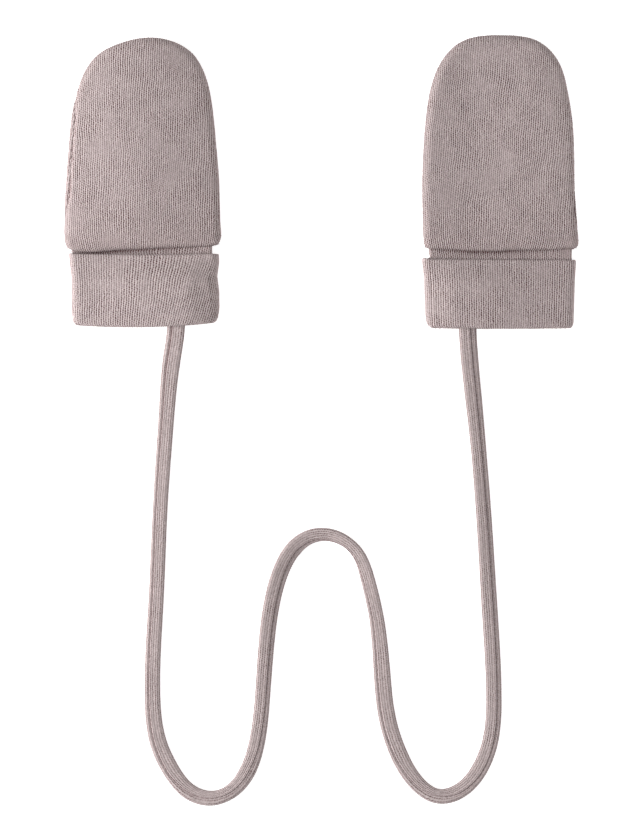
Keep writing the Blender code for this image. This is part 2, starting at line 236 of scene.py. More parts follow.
RIGHT = Mitten(
    name="right",
    centre=82.5,
    tip=(-0.4, 68.1),
    rows=table(
        Row,
        (-33.4, -30.9, 34.2, -30.7), (-35.1, -30.0, 35.6, -29.7), (-35.9, -27.8, 36.1, -27.2),
        (-36.4, -20.5, 35.5, -20.0), (-36.7, -2.0, 34.4, -4.0), (-36.0, 17.6, 34.0, 17.6),
        (-34.6, 33.0, 32.7, 33.0), (-32.5, 44.5, 30.6, 44.5), (-29.4, 53.0, 28.2, 53.0),
        (-24.7, 60.0, 23.9, 60.0), (-18.2, 65.2, 17.4, 65.2), (-10.8, 67.5, 10.0, 67.5),
    ),
    crown=0.7,
    hem=(
        (-28.0, -30.9), (-23.4, -31.15), (-16.5, -31.6), (-9.6, -31.9), (-0.4, -31.9),
        (8.8, -31.4), (22.6, -31.2),
    ),
    roll=Roll(side="right", low=-24.0, high=-2.0, fade=8.0, angle=30.0),
    cuff_rows=table(
        Row,
        (-34.8, -29.0, 34.7, -29.0), (-35.1, -32.0, 34.5, -32.0), (-34.5, -34.6, 34.4, -34.6),
        (-36.3, -35.5, 34.6, -35.5), (-36.3, -38.0, 34.6, -38.0), (-35.5, -46.0, 34.1, -46.0),
        (-35.1, -60.0, 33.7, -60.0), (-34.8, -67.0, 33.5, -67.0),
    ),
    top_up=-35.6,
    top_rises=(0.2, -0.4),
    mouth_up=-67.55,
    mouth_bow=0.0003,
    mouth_bow_at=0.0,
    corner=(4.4, 1.9),
    cord_at=-15.6,
    lean=0.06,
    cuff_lean=0.01,
    relief=1.25,
    # The painted shade of the crease under the hem: across, darkness
    crease=((-33.0, 0.3), (-26.0, 0.75), (-15.0, 1.1), (0.0, 1.0), (10.0, 0.7), (25.0, 0.4), (33.0, 0.3)),
    swells=table(
        Swell,
        (-8.5, 10.0, 17.0, 52.0, -1.5), (24.0, 30.0, 12.0, 40.0, 0.3), (8.0, -14.0, 14.0, 10.0, 0.15),
        (-22.0, -26.0, 6.0, 3.5, 0.5), (-12.0, -28.3, 7.0, 3.0, -1.1),
    ),
)

MITTENS = (LEFT, RIGHT)

# The cord's route, from inside the left cuff to inside the right one: across, up, over the floor
CORD_ROUTE = (
    (-66.3, -49.0, CORD_INSIDE), (-66.5, -58.0, CORD_INSIDE), (-66.7, -67.0, CORD_INSIDE),
    (-69.0, -83.0, 2.3), (-71.1, -105.0, CORD_FLOOR), (-74.1, -149.0, CORD_FLOOR),
    (-76.1, -193.0, CORD_FLOOR), (-77.7, -237.0, CORD_FLOOR), (-74.5, -259.3, CORD_FLOOR),
    (-69.2, -270.4, CORD_FLOOR), (-60.8, -280.3, CORD_FLOOR), (-51.3, -283.4, CORD_FLOOR),
    (-42.0, -280.3, CORD_FLOOR), (-34.0, -270.4, CORD_FLOOR), (-30.3, -259.3, CORD_FLOOR),
    (-27.4, -237.0, CORD_FLOOR), (-25.3, -209.6, CORD_FLOOR), (-21.7, -187.6, CORD_FLOOR),
    (-17.9, -176.5, CORD_FLOOR), (-12.7, -168.2, CORD_FLOOR), (-5.3, -162.9, CORD_FLOOR),
    (2.1, -161.9, CORD_FLOOR), (9.8, -164.2, CORD_FLOOR), (17.2, -171.2, CORD_FLOOR),
    (21.3, -182.0, CORD_FLOOR), (25.2, -198.6, CORD_FLOOR), (28.1, -226.0, CORD_FLOOR),
    (30.9, -248.3, CORD_FLOOR), (36.6, -264.8, CORD_FLOOR), (43.9, -276.2, CORD_FLOOR),
    (54.0, -282.5, CORD_FLOOR), (63.9, -279.7, CORD_FLOOR), (72.4, -270.4, CORD_FLOOR),
    (77.1, -259.0, CORD_FLOOR), (79.2, -237.0, CORD_FLOOR), (77.4, -198.6, CORD_FLOOR),
    (74.3, -149.0, CORD_FLOOR), (69.9, -100.0, CORD_FLOOR + 0.3), (66.9, -67.0, CORD_INSIDE),
    (66.7, -49.0, CORD_INSIDE),
)

# Half of the cord's section: a round body, a groove with the sewing, and the narrow stitched edge.
# Across towards the stitched edge, then the height of the top and of the underside above the cord's middle
CORD_CUTS = (
    (-3.25, 0.85, -0.75), (-2.4, 1.36, -1.3), (-1.0, 1.48, -1.5), (0.4, 1.46, -1.42), (1.3, 1.3, -1.25),
    (1.65, 0.72, -1.0), (2.05, 1.0, -1.15), (2.8, 1.0, -1.25), (3.6, 0.5, -0.9),
)
GROOVE_ACROSS = 1.65
GROOVE_TOP = 0.72
GROOVE_FILLED = 0.46

# Painted shade in the groove where it turns to the window: share of the cord's length, darkness
GROOVE_SHADE = ((0.0, 1.0), (0.05, 0.9), (0.09, 0.5), (0.3, 0.45), (0.33, 0.0), (1.0, 0.0))

# The groove along the cord: share of its length, how far across it lies, how deep it is pulled, 0 to 1
CORD_GROOVE = (
    (0.0, 1.7, 0.8), (0.07, 1.9, 0.6), (0.13, 2.1, 0.6), (0.24, 1.8, 0.6), (0.288, 1.95, 0.6),
    (0.304, 0.6, 0.5), (0.317, 0.2, 0.2), (0.346, 0.8, 0.2), (0.361, 1.45, 0.5), (0.39, 1.85, 0.7),
    (0.454, 1.9, 1.0), (0.482, 1.6, 1.0), (0.494, 2.3, 0.8), (0.503, 2.6, 0.4), (0.515, 3.2, 0.0),
    (0.53, 2.9, 0.1), (0.542, 2.4, 0.5), (0.57, 2.05, 0.7), (0.63, 2.25, 0.7), (0.651, 2.1, 0.7),
    (0.668, 1.1, 0.6), (0.683, 0.1, 0.4), (0.697, 1.2, 0.5), (0.713, 1.95, 0.7), (0.757, 1.7, 0.8),
    (0.807, 1.85, 0.8), (0.871, 1.45, 1.0), (1.0, 1.5, 0.9),
)

# The cord's width along it: share of its length, width. It is flat at the cuffs and narrow over the arch
CORD_WIDTHS = (
    (0.0, 8.2), (0.045, 8.1), (0.072, 7.2), (0.13, 6.7), (0.24, 7.1), (0.28, 7.8), (0.304, 7.3),
    (0.325, 6.4), (0.346, 7.4), (0.39, 6.9), (0.44, 7.4), (0.482, 7.7), (0.503, 6.1), (0.518, 5.3),
    (0.542, 6.4), (0.564, 6.6), (0.6, 7.6), (0.65, 7.8), (0.683, 6.6), (0.713, 7.3), (0.757, 7.0),
    (0.807, 7.3), (0.9, 6.95), (0.935, 7.6), (0.96, 8.0), (1.0, 8.0),
)

# How far the cord has rolled onto its edge: share of its length, degrees
CORD_ROLL = (
    (0.0, 0.0), (0.12, 4.0), (0.3, -4.0), (0.42, 6.0), (0.5, 18.0), (0.56, 4.0), (0.7, -5.0), (0.85, 8.0),
    (1.0, 0.0),
)


# Numbers


def ease(t):
    """Rises smoothly from 0 to 1 as t does."""
    t = np.clip(t, 0.0, 1.0)
    return t * t * (3 - 2 * t)


def mix(a, b, t):
    return a + (b - a) * t


def bell(x, width):
    """1 at 0, falling smoothly to nearly nothing at twice the width."""
    return np.exp(-((x / width) ** 2))


def curve_through(points, steps):
    """Points on a natural cubic spline through the given ones, with so many steps between two neighbours."""
    knots = np.array(points, float)
    spans = np.linalg.norm(np.diff(knots, axis=0), axis=1)
    count = len(knots)
    system = np.eye(count)
    bends = np.zeros_like(knots)
    for i in range(1, count - 1):
        system[i, i - 1] = spans[i - 1]
        system[i, i] = 2 * (spans[i - 1] + spans[i])
        system[i, i + 1] = spans[i]
        slope_after = (knots[i + 1] - knots[i]) / spans[i]
        slope_before = (knots[i] - knots[i - 1]) / spans[i - 1]
        bends[i] = 6 * (slope_after - slope_before)
    bends = np.linalg.solve(system, bends)
    found = []
    for i, span in enumerate(spans):
        for step in range(steps):
            t = step / steps
            s = 1 - t
            bow = (s**3 - s) * bends[i] + (t**3 - t) * bends[i + 1]
            found.append(s * knots[i] + t * knots[i + 1] + span**2 / 6 * bow)
    found.append(knots[-1])
    return np.array(found)


def lengths_along(path):
    steps = np.linalg.norm(np.diff(path, axis=0), axis=1)
    return np.concatenate(([0.0], np.cumsum(steps)))


def shared(path, table):
    """The second and later columns of a table by hand, at each point of the path as a share of its length."""
    at, *columns = zip(*table)
    shares = np.linspace(0.0, 1.0, len(path))
    return [np.interp(shares, at, column)[:, None] for column in columns]


def even_points(path, count):
    """The same path with points an equal distance apart."""
    along = lengths_along(path)
    wanted = np.linspace(0.0, along[-1], count)
    return np.stack([np.interp(wanted, along, column) for column in path.T], axis=1)


# Hand panels


Edge = namedtuple("Edge", "places outward seam_top hole rounding")


def hem_height(mitten, x):
    """Where the hand panels end and the narrow wrist starts."""
    row = mitten.rows[0]
    across, ups = zip((row.left, row.left_up), *mitten.hem, (row.right, row.right_up))
    return np.interp(x, across, ups)


def panel_edge(mitten):
    """The panel's whole outline with what the cloth does at each point of it: which way is out, how far the
    seam has rolled onto the front, how high the hem stands over the wrist and how round the edge is."""
    left = [(row.left, row.left_up) for row in mitten.rows]
    right = [(row.right, row.right_up) for row in reversed(mitten.rows)]
    side = curve_through(left + [mitten.tip] + right, SIDE_STEPS)
    hem_x = np.linspace(mitten.rows[0].right, mitten.rows[0].left, HEM_POINTS)[1:]
    hem = np.stack((hem_x, hem_height(mitten, hem_x)), axis=1)
    loop = even_points(np.concatenate((side, hem)), OUTLINE_POINTS + 1)[:-1]
    ahead = np.roll(loop, -2, axis=0) - np.roll(loop, 2, axis=0)
    ahead /= np.linalg.norm(ahead, axis=1)[:, None]
    outward = np.stack((-ahead[:, 1], ahead[:, 0]), axis=1)
    x, up = loop.T
    hemward = np.where(up < mitten.rows[HEM_ROWS].left_up, np.clip(-outward[:, 1], 0.0, 1.0), 0.0)
    hole_end = np.minimum(x - mitten.rows[0].left, mitten.rows[0].right - x)
    rounded = 1 - np.clip((HOLE_HALF - hole_end) / HOLE_HALF, 0.0, 1.0) ** 2
    hole = HOLE_HALF * np.sqrt(rounded) * ease(hemward / 0.9)
    roll = mitten.roll
    on_side = (x < 0) if roll.side == "left" else (x > 0)
    rolled = ease((up - roll.low) / roll.fade) * ease((roll.high - up) / roll.fade)
    seam_top = np.radians(roll.angle) * rolled * on_side
    return Edge(loop, outward, seam_top, hole, mix(EDGE_ROUND, HEM_ROUND, hemward))


def nearest_on(edge, points):
    """For each point its distance inside the outline, and the outline's own facts at the nearest place."""
    loop = edge.places
    count = len(loop)
    nearest = np.empty(len(points), int)
    for start in range(0, len(points), BLOCK):
        block = points[start : start + BLOCK]
        gaps = (block[:, None, 0] - loop[None, :, 0]) ** 2 + (block[:, None, 1] - loop[None, :, 1]) ** 2
        nearest[start : start + BLOCK] = gaps.argmin(axis=1)
    before = (nearest - 1) % count
    after = (nearest + 1) % count
    closer_after = ((points - loop[after]) ** 2).sum(1) < ((points - loop[before]) ** 2).sum(1)
    first = np.where(closer_after, nearest, before)
    second = (first + 1) % count
    along = loop[second] - loop[first]
    part = ((points - loop[first]) * along).sum(1) / (along**2).sum(1)
    part = np.clip(part, 0.0, 1.0)[:, None]
    place = loop[first] + part * along
    outward = mix(edge.outward[first], edge.outward[second], part)
    outward /= np.linalg.norm(outward, axis=1)[:, None]
    part = part[:, 0]
    facts = [mix(row[first], row[second], part) for row in (edge.seam_top, edge.hole, edge.rounding)]
    inside = -((points - place) * outward).sum(1)
    return place, outward, inside, facts


def crown_height(mitten, x, up):
    """How far the middle of the hand's front stands over its sides."""
    left_x, ups, right_x, _ = np.array(mitten.rows).T
    left = np.interp(up, ups, left_x)
    right = np.interp(up, ups, right_x)
    spread = 1 - ((2 * x - left - right) / (right - left)) ** 2
    over_hem = np.clip((up - ups[0]) / HEM_REACH, 0.0, 1.0)
    under_tip = np.clip((mitten.tip[1] - up) / CROWN_REACH, 0.0, 1.0)
    rise = over_hem * (2 - over_hem) * under_tip * (2 - under_tip)
    return mitten.crown * rise * np.clip(spread, 0.0, 1.0)


def wander(x, up, seed):
    """How far a wale strays sideways, as washed and worn knitting does: slow waves 9 to 40 mm long."""
    dice = np.random.default_rng(seed)
    away = np.zeros_like(x)
    for length, size in WANDER_WAVES:
        for _ in range(4):
            turn = dice.uniform(0.0, 2 * math.pi)
            start = dice.uniform(0.0, 2 * math.pi)
            across = math.cos(turn) * x + math.sin(turn) * up
            away += size / 2 * np.sin(2 * math.pi * across / length + start)
    return away


def swelling(mitten, x, up):
    """The soft hollows and swells that the hand gets from lying loosely, as listed for each mitten."""
    height = np.zeros_like(x)
    for swell in mitten.swells:
        away = ((x - swell.across) / swell.half_width) ** 2 + ((up - swell.up) / swell.half_length) ** 2
        height += swell.height * np.exp(-away)
    return height


def panel_shell(mitten, front, knit):
    """The vertices, knit coordinates and faces of one hand panel's outer face, with its outline and level."""
    edge = panel_edge(mitten)
    level = SEAM_LEVEL + (SEAM_GAP / 2 if front else -SEAM_GAP / 2)
    left = min(row.left for row in mitten.rows) - KNIT_REACH
    right = max(row.right for row in mitten.rows) + KNIT_REACH
    low = mitten.rows[0].left_up - KNIT_REACH
    high = mitten.tip[1] + KNIT_REACH
    columns = np.arange(math.floor(left / knit.wale), math.ceil(right / knit.wale), 1 / COLUMNS_PER_WALE)
    rows = np.arange(math.floor(low / knit.course), math.ceil(high / knit.course), 1 / ROWS_PER_COURSE)
    wales, courses = np.meshgrid(columns, rows)
    up = courses * knit.course
    # The narrow wrist gathers the hand's wales a little at the hem
    over_hem = np.clip(up - mitten.rows[0].left_up + GATHER_FULL, 0.0, None)
    gather = 1 - HEM_GATHER * np.exp(-over_hem / GATHER_REACH)
    x = (wales * knit.wale + mitten.lean * up) * gather
    x = x + wander(x, up, 3 if front else 4)
    up = up + wander(up, x, 5 if front else 6)
    points = np.stack((x.ravel(), up.ravel()), axis=1)
    place, outward, inside, (seam_top, hole, rounding) = nearest_on(edge, points)

    top_z = level + TOP_RISE
    base_top = level + hole
    base_under = level - hole
    depth = (top_z - base_top) if front else base_under
    bend = (rounding + depth) / 2
    seam = seam_top if front else -seam_top
    stop = rounding - bend * (math.pi / 2 - seam)
    cell = knit.wale / COLUMNS_PER_WALE
    room = inside - stop
    valid = room > -0.5 * cell
    inside = np.where(np.abs(room) < 0.5 * cell, stop, inside)

    angle = math.pi / 2 - np.clip(rounding - inside, 0.0, None) / bend
    wrapped = inside < rounding
    reachin = rounding * (1 - np.cos(angle))
    flat = np.where(wrapped[:, None], place - outward * reachin[:, None], points)
    rise = np.sin(np.clip(angle, -math.pi / 2, math.pi / 2))
    if front:
        z = base_top + (top_z - base_top) * rise
        z = z + crown_height(mitten, flat[:, 0], flat[:, 1]) * np.clip(rise, 0.0, 1.0)
        z = z + swelling(mitten, flat[:, 0], flat[:, 1]) * ease((inside - SWELL_STARTS) / SWELL_FULL)
    else:
        z = np.where(rise > 0, base_under * (1 - rise), base_under - TOP_RISE * rise)
    # The seam draws both panels in along the join
    sewn = 1 - np.clip(hole / HOLE_HALF, 0.0, 1.0)
    drawn_in = SEAM_DRAW * sewn * bell(np.clip(inside - stop, 0.0, None), SEAM_SOFT)
    flat = flat - outward * (drawn_in * np.cos(angle))[:, None]
    z = z - drawn_in * np.sin(angle) * (1 if front else -1)
    vertices = np.stack((flat[:, 0] + mitten.centre, flat[:, 1], z), axis=1)
    weave = np.stack((wales.ravel(), courses.ravel()), axis=1)

    numbers = np.arange(wales.size).reshape(wales.shape)
    corners = (numbers[:-1, :-1], numbers[:-1, 1:], numbers[1:, 1:], numbers[1:, :-1])
    corners = np.stack(corners, axis=-1).reshape(-1, 4)
    good = valid[corners]
    quads = corners[good.sum(1) == 4]
    threes = corners[good.sum(1) == 3]
    kept = good[good.sum(1) == 3]
    triangles = threes[kept].reshape(-1, 3)
    if not front:
        quads = quads[:, ::-1]
        triangles = triangles[:, ::-1]
    return vertices, weave, quads, triangles, edge, level


def boundary_loop(quads, triangles):
    """The longest open edge of a mesh as one ordered ring of vertices."""
    edges = set()
    for faces in (quads, triangles):
        size = faces.shape[1]
        for i in range(size):
            edges.update(zip(faces[:, i].tolist(), faces[:, (i + 1) % size].tolist()))
    following = {a: b for a, b in edges if (b, a) not in edges}
    loops = []
    while following:
        start, current = next(iter(following.items()))
        ring = [start]
        del following[start]
        while current != start and current in following:
            ring.append(current)
            current = following.pop(current)
        loops.append(ring)
    return max(loops, key=len)


def hem_painted_shade(mitten, x, up):
    """Painted shade round the hem, about 0 to 1: a narrow line of painted shade in the crease under it, with
    its strength across the hem as listed for each mitten, and a wider, fainter painted shade over the wrist
    and the knit above the hem."""
    under_hem = hem_height(mitten, x) - up
    line = np.interp(x, *zip(*mitten.crease)) * bell(under_hem - LINE_UNDER, LINE_WIDTH)
    return np.maximum(line, HEM_SHADE * bell(np.clip(-under_hem, 0.0, None), HEM_SHADE_REACH))


def mesh_piece(name, vertices, faces, weave, weights, material, crease, girth=0, fold=RIM_PAINTED_SHADE):
    """A mesh object in metres with the knit's coordinates on its points and in its UV map. A tube has its
    girth in wales, so that the faces that close it count on. crease is the shade painted into the
    cloth's colour there, and fold the painted shade where the cloth turns down round its own edge."""
    mesh = bpy.data.meshes.new(name)
    mesh.from_pydata((np.asarray(vertices) * MM).tolist(), [], faces)
    knit = mesh.attributes.new("knit", "FLOAT_VECTOR", "POINT")
    values = np.concatenate((weave, np.asarray(weights)[:, None]), axis=1)
    knit.data.foreach_set("vector", values.astype(np.float32).ravel())
    painted_shade_attribute = mesh.attributes.new("crease", "FLOAT", "POINT")
    normals = np.empty(len(values) * 3, np.float32)
    mesh.vertex_normals.foreach_get("vector", normals)
    # Painted shade: the steeper the cloth turns down round its rims the darker its colour, and the painted
    # shade of creases, joins and grooves
    painted_darkness = np.maximum(fold * (1 - np.abs(normals[2::3])) ** RIM_SHADE_POWER, crease)
    painted_shade_attribute.data.foreach_set("value", painted_darkness.astype(np.float32))
    corner_vertex = np.empty(len(mesh.loops), np.int32)
    mesh.loops.foreach_get("vertex_index", corner_vertex)
    layer = mesh.uv_layers.new(name="knit_map")
    corner_weave = weave[corner_vertex].astype(float)
    if girth:
        starts = np.empty(len(mesh.polygons), np.int32)
        mesh.polygons.foreach_get("loop_start", starts)
        furthest = np.maximum.reduceat(corner_weave[:, 0], starts)
        sizes = np.diff(np.append(starts, len(mesh.loops)))
        behind = np.repeat(furthest, sizes) - corner_weave[:, 0] > girth / 2
        corner_weave[behind & (np.repeat(sizes, sizes) == 4), 0] += girth
    uv = corner_weave / UV_SPAN + 0.5
    layer.uv.foreach_set("vector", uv.astype(np.float32).ravel())
    mesh.materials.append(material)
    mesh.shade_smooth()
    piece = bpy.data.objects.new(name, mesh)
    bpy.context.scene.collection.objects.link(piece)
    return piece


def hand_panel(mitten, front, knit, material):
    """One hand panel as a closed wall of cloth."""
    vertices, weave, quads, triangles, edge, level = panel_shell(mitten, front, knit)
    ring = boundary_loop(quads, triangles)
    used = np.unique(np.concatenate((quads.ravel(), triangles.ravel())))
    renumber = np.full(len(vertices), -1)
    renumber[used] = np.arange(len(used))
    outer = vertices[used]
    ring = renumber[np.array(ring)]
    faces = [tuple(face) for face in renumber[quads].tolist()]
    faces += [tuple(face) for face in renumber[triangles].tolist()]
    weights = np.ones(len(used))
    weights[ring] = 0.0

    rim = outer[ring]
    flat = rim[:, :2] - (mitten.centre, 0.0)
    _, outward, _, _ = nearest_on(edge, flat)
    ceiling = level + TOP_RISE - PANEL_WALL if front else PANEL_WALL
    rings = []
    for further, part in INNER_RINGS:
        places = flat - outward * (PANEL_WALL + further)
        height = mix(rim[:, 2], ceiling, part)
        rings.append(np.stack((places[:, 0] + mitten.centre, places[:, 1], height), axis=1))
    count = len(outer)
    size = len(ring)
    numbers = [ring] + [count + k * size + np.arange(size) for k in range(len(rings))]
    for first, second in zip(numbers, numbers[1:]):
        for i in range(size):
            j = (i + 1) % size
            faces.append((int(first[j]), int(first[i]), int(second[i]), int(second[j])))
    faces.append(tuple(int(n) for n in numbers[-1][::-1]))
    everything = np.concatenate([outer] + rings)
    inner_weave = np.tile(weave[used][ring], (len(rings), 1))
    all_weave = np.concatenate((weave[used], inner_weave))
    all_weights = np.concatenate((weights, np.zeros(size * len(rings))))
    name = f"{mitten.name}_{'front' if front else 'back'}_jersey"
    # Painted shade round the hem, on the front only
    crease = hem_painted_shade(mitten, everything[:, 0] - mitten.centre, everything[:, 1]) * (1.0 if front else 0.0)
    # Painted shade in the join itself, out of which hardly any light comes
    crease[ring] = np.maximum(crease[ring], JOIN_PAINTED_SHADE)
    return mesh_piece(name, everything, faces, all_weave, all_weights, material, crease)


# Cuffs


def mouth_height(mitten, x):
    """The line of the fold at the cuff's mouth, with rounded corners."""
    low = mitten.cuff_rows[-1]
    height = mitten.mouth_up + mitten.mouth_bow * (x - mitten.mouth_bow_at) ** 2
    for radius, inside in zip(mitten.corner, (x - low.left, low.right - x)):
        across = np.clip(1 - inside / radius, 0.0, 1.0)
        height = height + radius * (1 - np.sqrt(1 - across**2))
    return height


def side_gap(depth):
    """The gap between the cuff's front and back at its sides. depth is 0 in the hand and 1 at the mouth."""
    return mix(NECK_GAP, MOUTH_GAP, ease(depth / GAP_OPENS))


def cuff_gap(mitten, x, depth):
    """The gap anywhere across the cuff, a little wider in the middle and more so round the cord."""
    low = mitten.cuff_rows[-1]
    side = np.where(x < mitten.cord_at, low.left, low.right)
    fall = np.abs(side - mitten.cord_at) - ROOM_HALF
    beside = ease((np.abs(x - mitten.cord_at) - ROOM_HALF) / fall)
    opened = ease((depth - ROOM_STARTS) / (ROOM_FULL - ROOM_STARTS))
    across = np.clip((x - low.left) / (low.right - low.left), 0.0, 1.0)
    swell = CUFF_SWELL * 4 * across * (1 - across)
    return side_gap(depth) + opened * (swell + (CORD_ROOM - MOUTH_GAP) * (1 - beside))


def is_wrist_face(out):
    """Whether a row at this distance from the hollow lies on the outer face of the inner layer."""
    return abs(out - CUFF_WALL) < 0.01


def cuff_ring(mitten, place, out, drop, around):
    """Points round the cuff at the shares given by around, which starts at its left side and crosses the
    front first. place is 0 at the end in the hand and 1 at the fold, out is the distance from the hollow."""
    rows = mitten.cuff_rows[::-1]
    turned_up = out > TURN_UP / 2

    def height(x):
        start = hem_height(mitten, x) + NECK_DEPTH
        if turned_up:
            ends = (rows[0].left, 0.0, rows[0].right)
            rises = (mitten.top_rises[0], 0.0, mitten.top_rises[1])
            start = hem_height(mitten, 0.0) + NECK_DEPTH + np.interp(x, ends, rises)
        fold = mouth_height(mitten, x) + TURN_UP / 2
        return mix(start, fold, place) - drop

    depth = min(max(place, 0.0), 1.0)
    half_gap = side_gap(depth) / 2
    floor = mix(NECK_FLOOR, MOUTH_FLOOR, ease(depth / FLOOR_DROPS))
    left_x, left_ups, right_x, right_ups = np.array(rows).T
    left = np.interp(height(left_x[0] + TURN_UP), left_ups, left_x) + TURN_UP + half_gap
    right = np.interp(height(right_x[0] - TURN_UP), right_ups, right_x) - TURN_UP - half_gap
    middle = floor + half_gap
    radius = half_gap + out
    straight = right - left
    arc = math.pi * radius
    whole = 2 * straight + 2 * arc
    along = (around % 1.0) * whole
    marks = np.array((0.5 * arc, 0.5 * arc + straight, 1.5 * arc + straight, 1.5 * arc + 2 * straight))
    zone = np.searchsorted(marks, along)
    front_x = left + along - marks[0]
    back_x = right - (along - marks[2])
    right_angle = math.pi / 2 - (along - marks[1]) / radius
    left_angle = math.pi + np.where(zone == 0, -along, whole - along) / radius
    x = np.select(
        (zone == 1, zone == 2, zone == 3),
        (front_x, right + radius * np.cos(right_angle), back_x),
        left + radius * np.cos(left_angle),
    )
    inner_x = np.clip(x, left, right)
    up = height(x)
    # The wrist goes in under the hem, which leaves a crease
    under_hem = hem_height(mitten, inner_x) - up
    pulled = mix(1.0, np.interp(x, *zip(*mitten.crease)), CREASE_PULL)
    dip = NECK_DIP * pulled * bell(under_hem, DIP_HALF) * ease(np.minimum(x - left, right - x) / DIP_FADE)
    front_z = floor + cuff_gap(mitten, x, depth) + (out - dip if is_wrist_face(out) else out)
    z = np.select(
        (zone == 1, zone == 2, zone == 3),
        (front_z, middle + radius * np.sin(right_angle), np.full_like(x, floor - out)),
        middle + radius * np.sin(left_angle),
    )
    return np.stack((x + mitten.centre, up, z), axis=1)


def cuff_stations(mitten, knit):
    """Rows of the cuff's cloth in order, all the way round its wall: up the hollow side from the hand's end,
    round the fold, up the turned-up face, over its edge, back down between the layers and up to the start.
    Each is a place, a distance from the hollow, a drop past the fold, and the weight of the knit's relief."""
    step = knit.course / ROWS_PER_COURSE
    start = hem_height(mitten, 0.0) + NECK_DEPTH
    fold = mouth_height(mitten, 0.0) + TURN_UP / 2
    whole = start - fold
    top = (start - mitten.top_up) / whole
    edge_radius = CUFF_WALL / 2
    edge_place = top + edge_radius / whole
    fold_radius = TURN_UP / 2
    inner_radius = LAYER_GAP / 2
    seen_inside = 1 - SEEN_INSIDE / whole
    seen_wrist = SEEN_WRIST / whole

    def straight(first, last, out, weight):
        """Rows between two places of the wall, a step apart where the relief shows."""
        count = round(abs(last - first) * whole / step) if weight else HIDDEN_ROWS
        return [(place, out, 0.0, weight) for place in np.linspace(first, last, count + 1)]

    stations = straight(0.0, seen_inside, 0.0, 0.0)[:-1]
    stations += straight(seen_inside, 1.0, 0.0, 1.0)[:-1]
    for turn in np.linspace(0.0, math.pi, round(math.pi * fold_radius / step) + 1)[:-1]:
        stations.append((1.0, fold_radius - fold_radius * math.cos(turn), fold_radius * math.sin(turn), 1.0))
    stations += straight(1.0, edge_place, TURN_UP, 1.0)[:-1]
    for turn in np.linspace(0.0, math.pi, HIDDEN_ROWS + 1):
        out = TURN_UP - edge_radius + edge_radius * math.cos(turn)
        place = edge_place - edge_radius / whole * math.sin(turn)
        stations.append((place, out, 0.0, max(math.cos(turn), 0.0)))
    stations += straight(edge_place, 1.0, TURN_UP - CUFF_WALL, 0.0)[1:]
    for turn in np.linspace(math.pi, 0.0, 6)[1:]:
        out = TURN_UP / 2 - inner_radius * math.cos(turn)
        stations.append((1.0, out, inner_radius * math.sin(turn), 0.0))
    stations += straight(1.0, seen_wrist, CUFF_WALL, 0.0)[1:]
    stations += straight(seen_wrist, 0.0, CUFF_WALL, 1.0)[1:]
    # The knit is smooth where the wrist joins the hand, out of sight
    return [row if row[0] > 0.03 else (*row[:3], 0.0) for row in stations]


def cuff_piece(mitten, knit, material):
    """The turned-up cuff and the wrist as one closed wall of cloth."""
    stations = cuff_stations(mitten, knit)
    girth = 2 * (mitten.cuff_rows[-1].right - mitten.cuff_rows[-1].left)
    wales = 2 * round(girth / knit.wale / 2)
    columns = wales * COLUMNS_PER_WALE
    base = np.arange(columns) / columns
    vertices = []
    weave = []
    weights = []
    painted_shades = []
    for number, (place, out, drop, weight) in enumerate(stations):
        slip = mitten.cuff_lean * bell(base - LEAN_AT, LEAN_HALF) * (1 - place) * LEAN_HEIGHT / girth
        ring = cuff_ring(mitten, place, out, drop, base + slip)
        vertices.append(ring)
        course = number / ROWS_PER_COURSE - COURSES_BEFORE
        weave.append(np.stack((base * wales - wales / 2, np.full(columns, course)), axis=1))
        inset = np.minimum(ring[:, 0] - ring[:, 0].min(), ring[:, 0].max() - ring[:, 0])
        weights.append(weight * mix(SIDE_RELIEF, 1.0, ease(inset / SIDE_REACH)))
        # Painted shade round the hem, on the front of the wrist's outer face only
        on_front = (ring[:, 2] > SEAM_LEVEL) * (1.0 if is_wrist_face(out) else 0.0)
        painted_shades.append(hem_painted_shade(mitten, ring[:, 0] - mitten.centre, ring[:, 1]) * on_front)
    rows = len(stations)
    numbers = np.arange(rows * columns).reshape(rows, columns)
    after = np.roll(numbers, -1, axis=1)
    above = np.roll(numbers, -1, axis=0)
    beyond = np.roll(after, -1, axis=0)
    faces = np.stack((numbers, after, beyond, above), axis=-1).reshape(-1, 4)
    name = f"{mitten.name}_cuff_jersey"
    vertices, weave, weights, crease = map(np.concatenate, (vertices, weave, weights, painted_shades))
    return mesh_piece(name, vertices, faces.tolist(), weave, weights, material, crease, wales, CUFF_RIM_PAINTED_SHADE)


# Cord


def cord_path(step):
    """The middle line of the cord, a point every step."""
    path = curve_through(CORD_ROUTE, 24)
    path[:, 2] = np.maximum(path[:, 2], CORD_FLOOR)
    count = round(lengths_along(path)[-1] / step) + 1
    return even_points(path, count)


def cord_frames(path):
    """At each point of the path the cord's right-hand side and its upward side."""
    ahead = np.gradient(path, axis=0)
    ahead /= np.linalg.norm(ahead, axis=1)[:, None]
    right = np.cross(ahead, (0.0, 0.0, 1.0))
    right /= np.linalg.norm(right, axis=1)[:, None]
    roll = np.radians(shared(path, CORD_ROLL)[0])
    upward = np.cross(right, ahead)
    return right * np.cos(roll) - upward * np.sin(roll), upward * np.cos(roll) + right * np.sin(roll)


def cord_section():
    """The cord's outline with its groove pulled in, as points an equal way apart, three to a wale."""
    top = [(across, top) for across, top, _ in CORD_CUTS]
    under = [(across, under) for across, _, under in reversed(CORD_CUTS)]
    ends = [(-CORD_WIDTH / 2, 0.0)] + top + [(CORD_EDGE, -0.35)] + under + [(-CORD_WIDTH / 2, 0.0)]
    outline = curve_through(ends, 12)
    return even_points(outline, CORD_WALES * COLUMNS_PER_WALE + 1)[:-1]


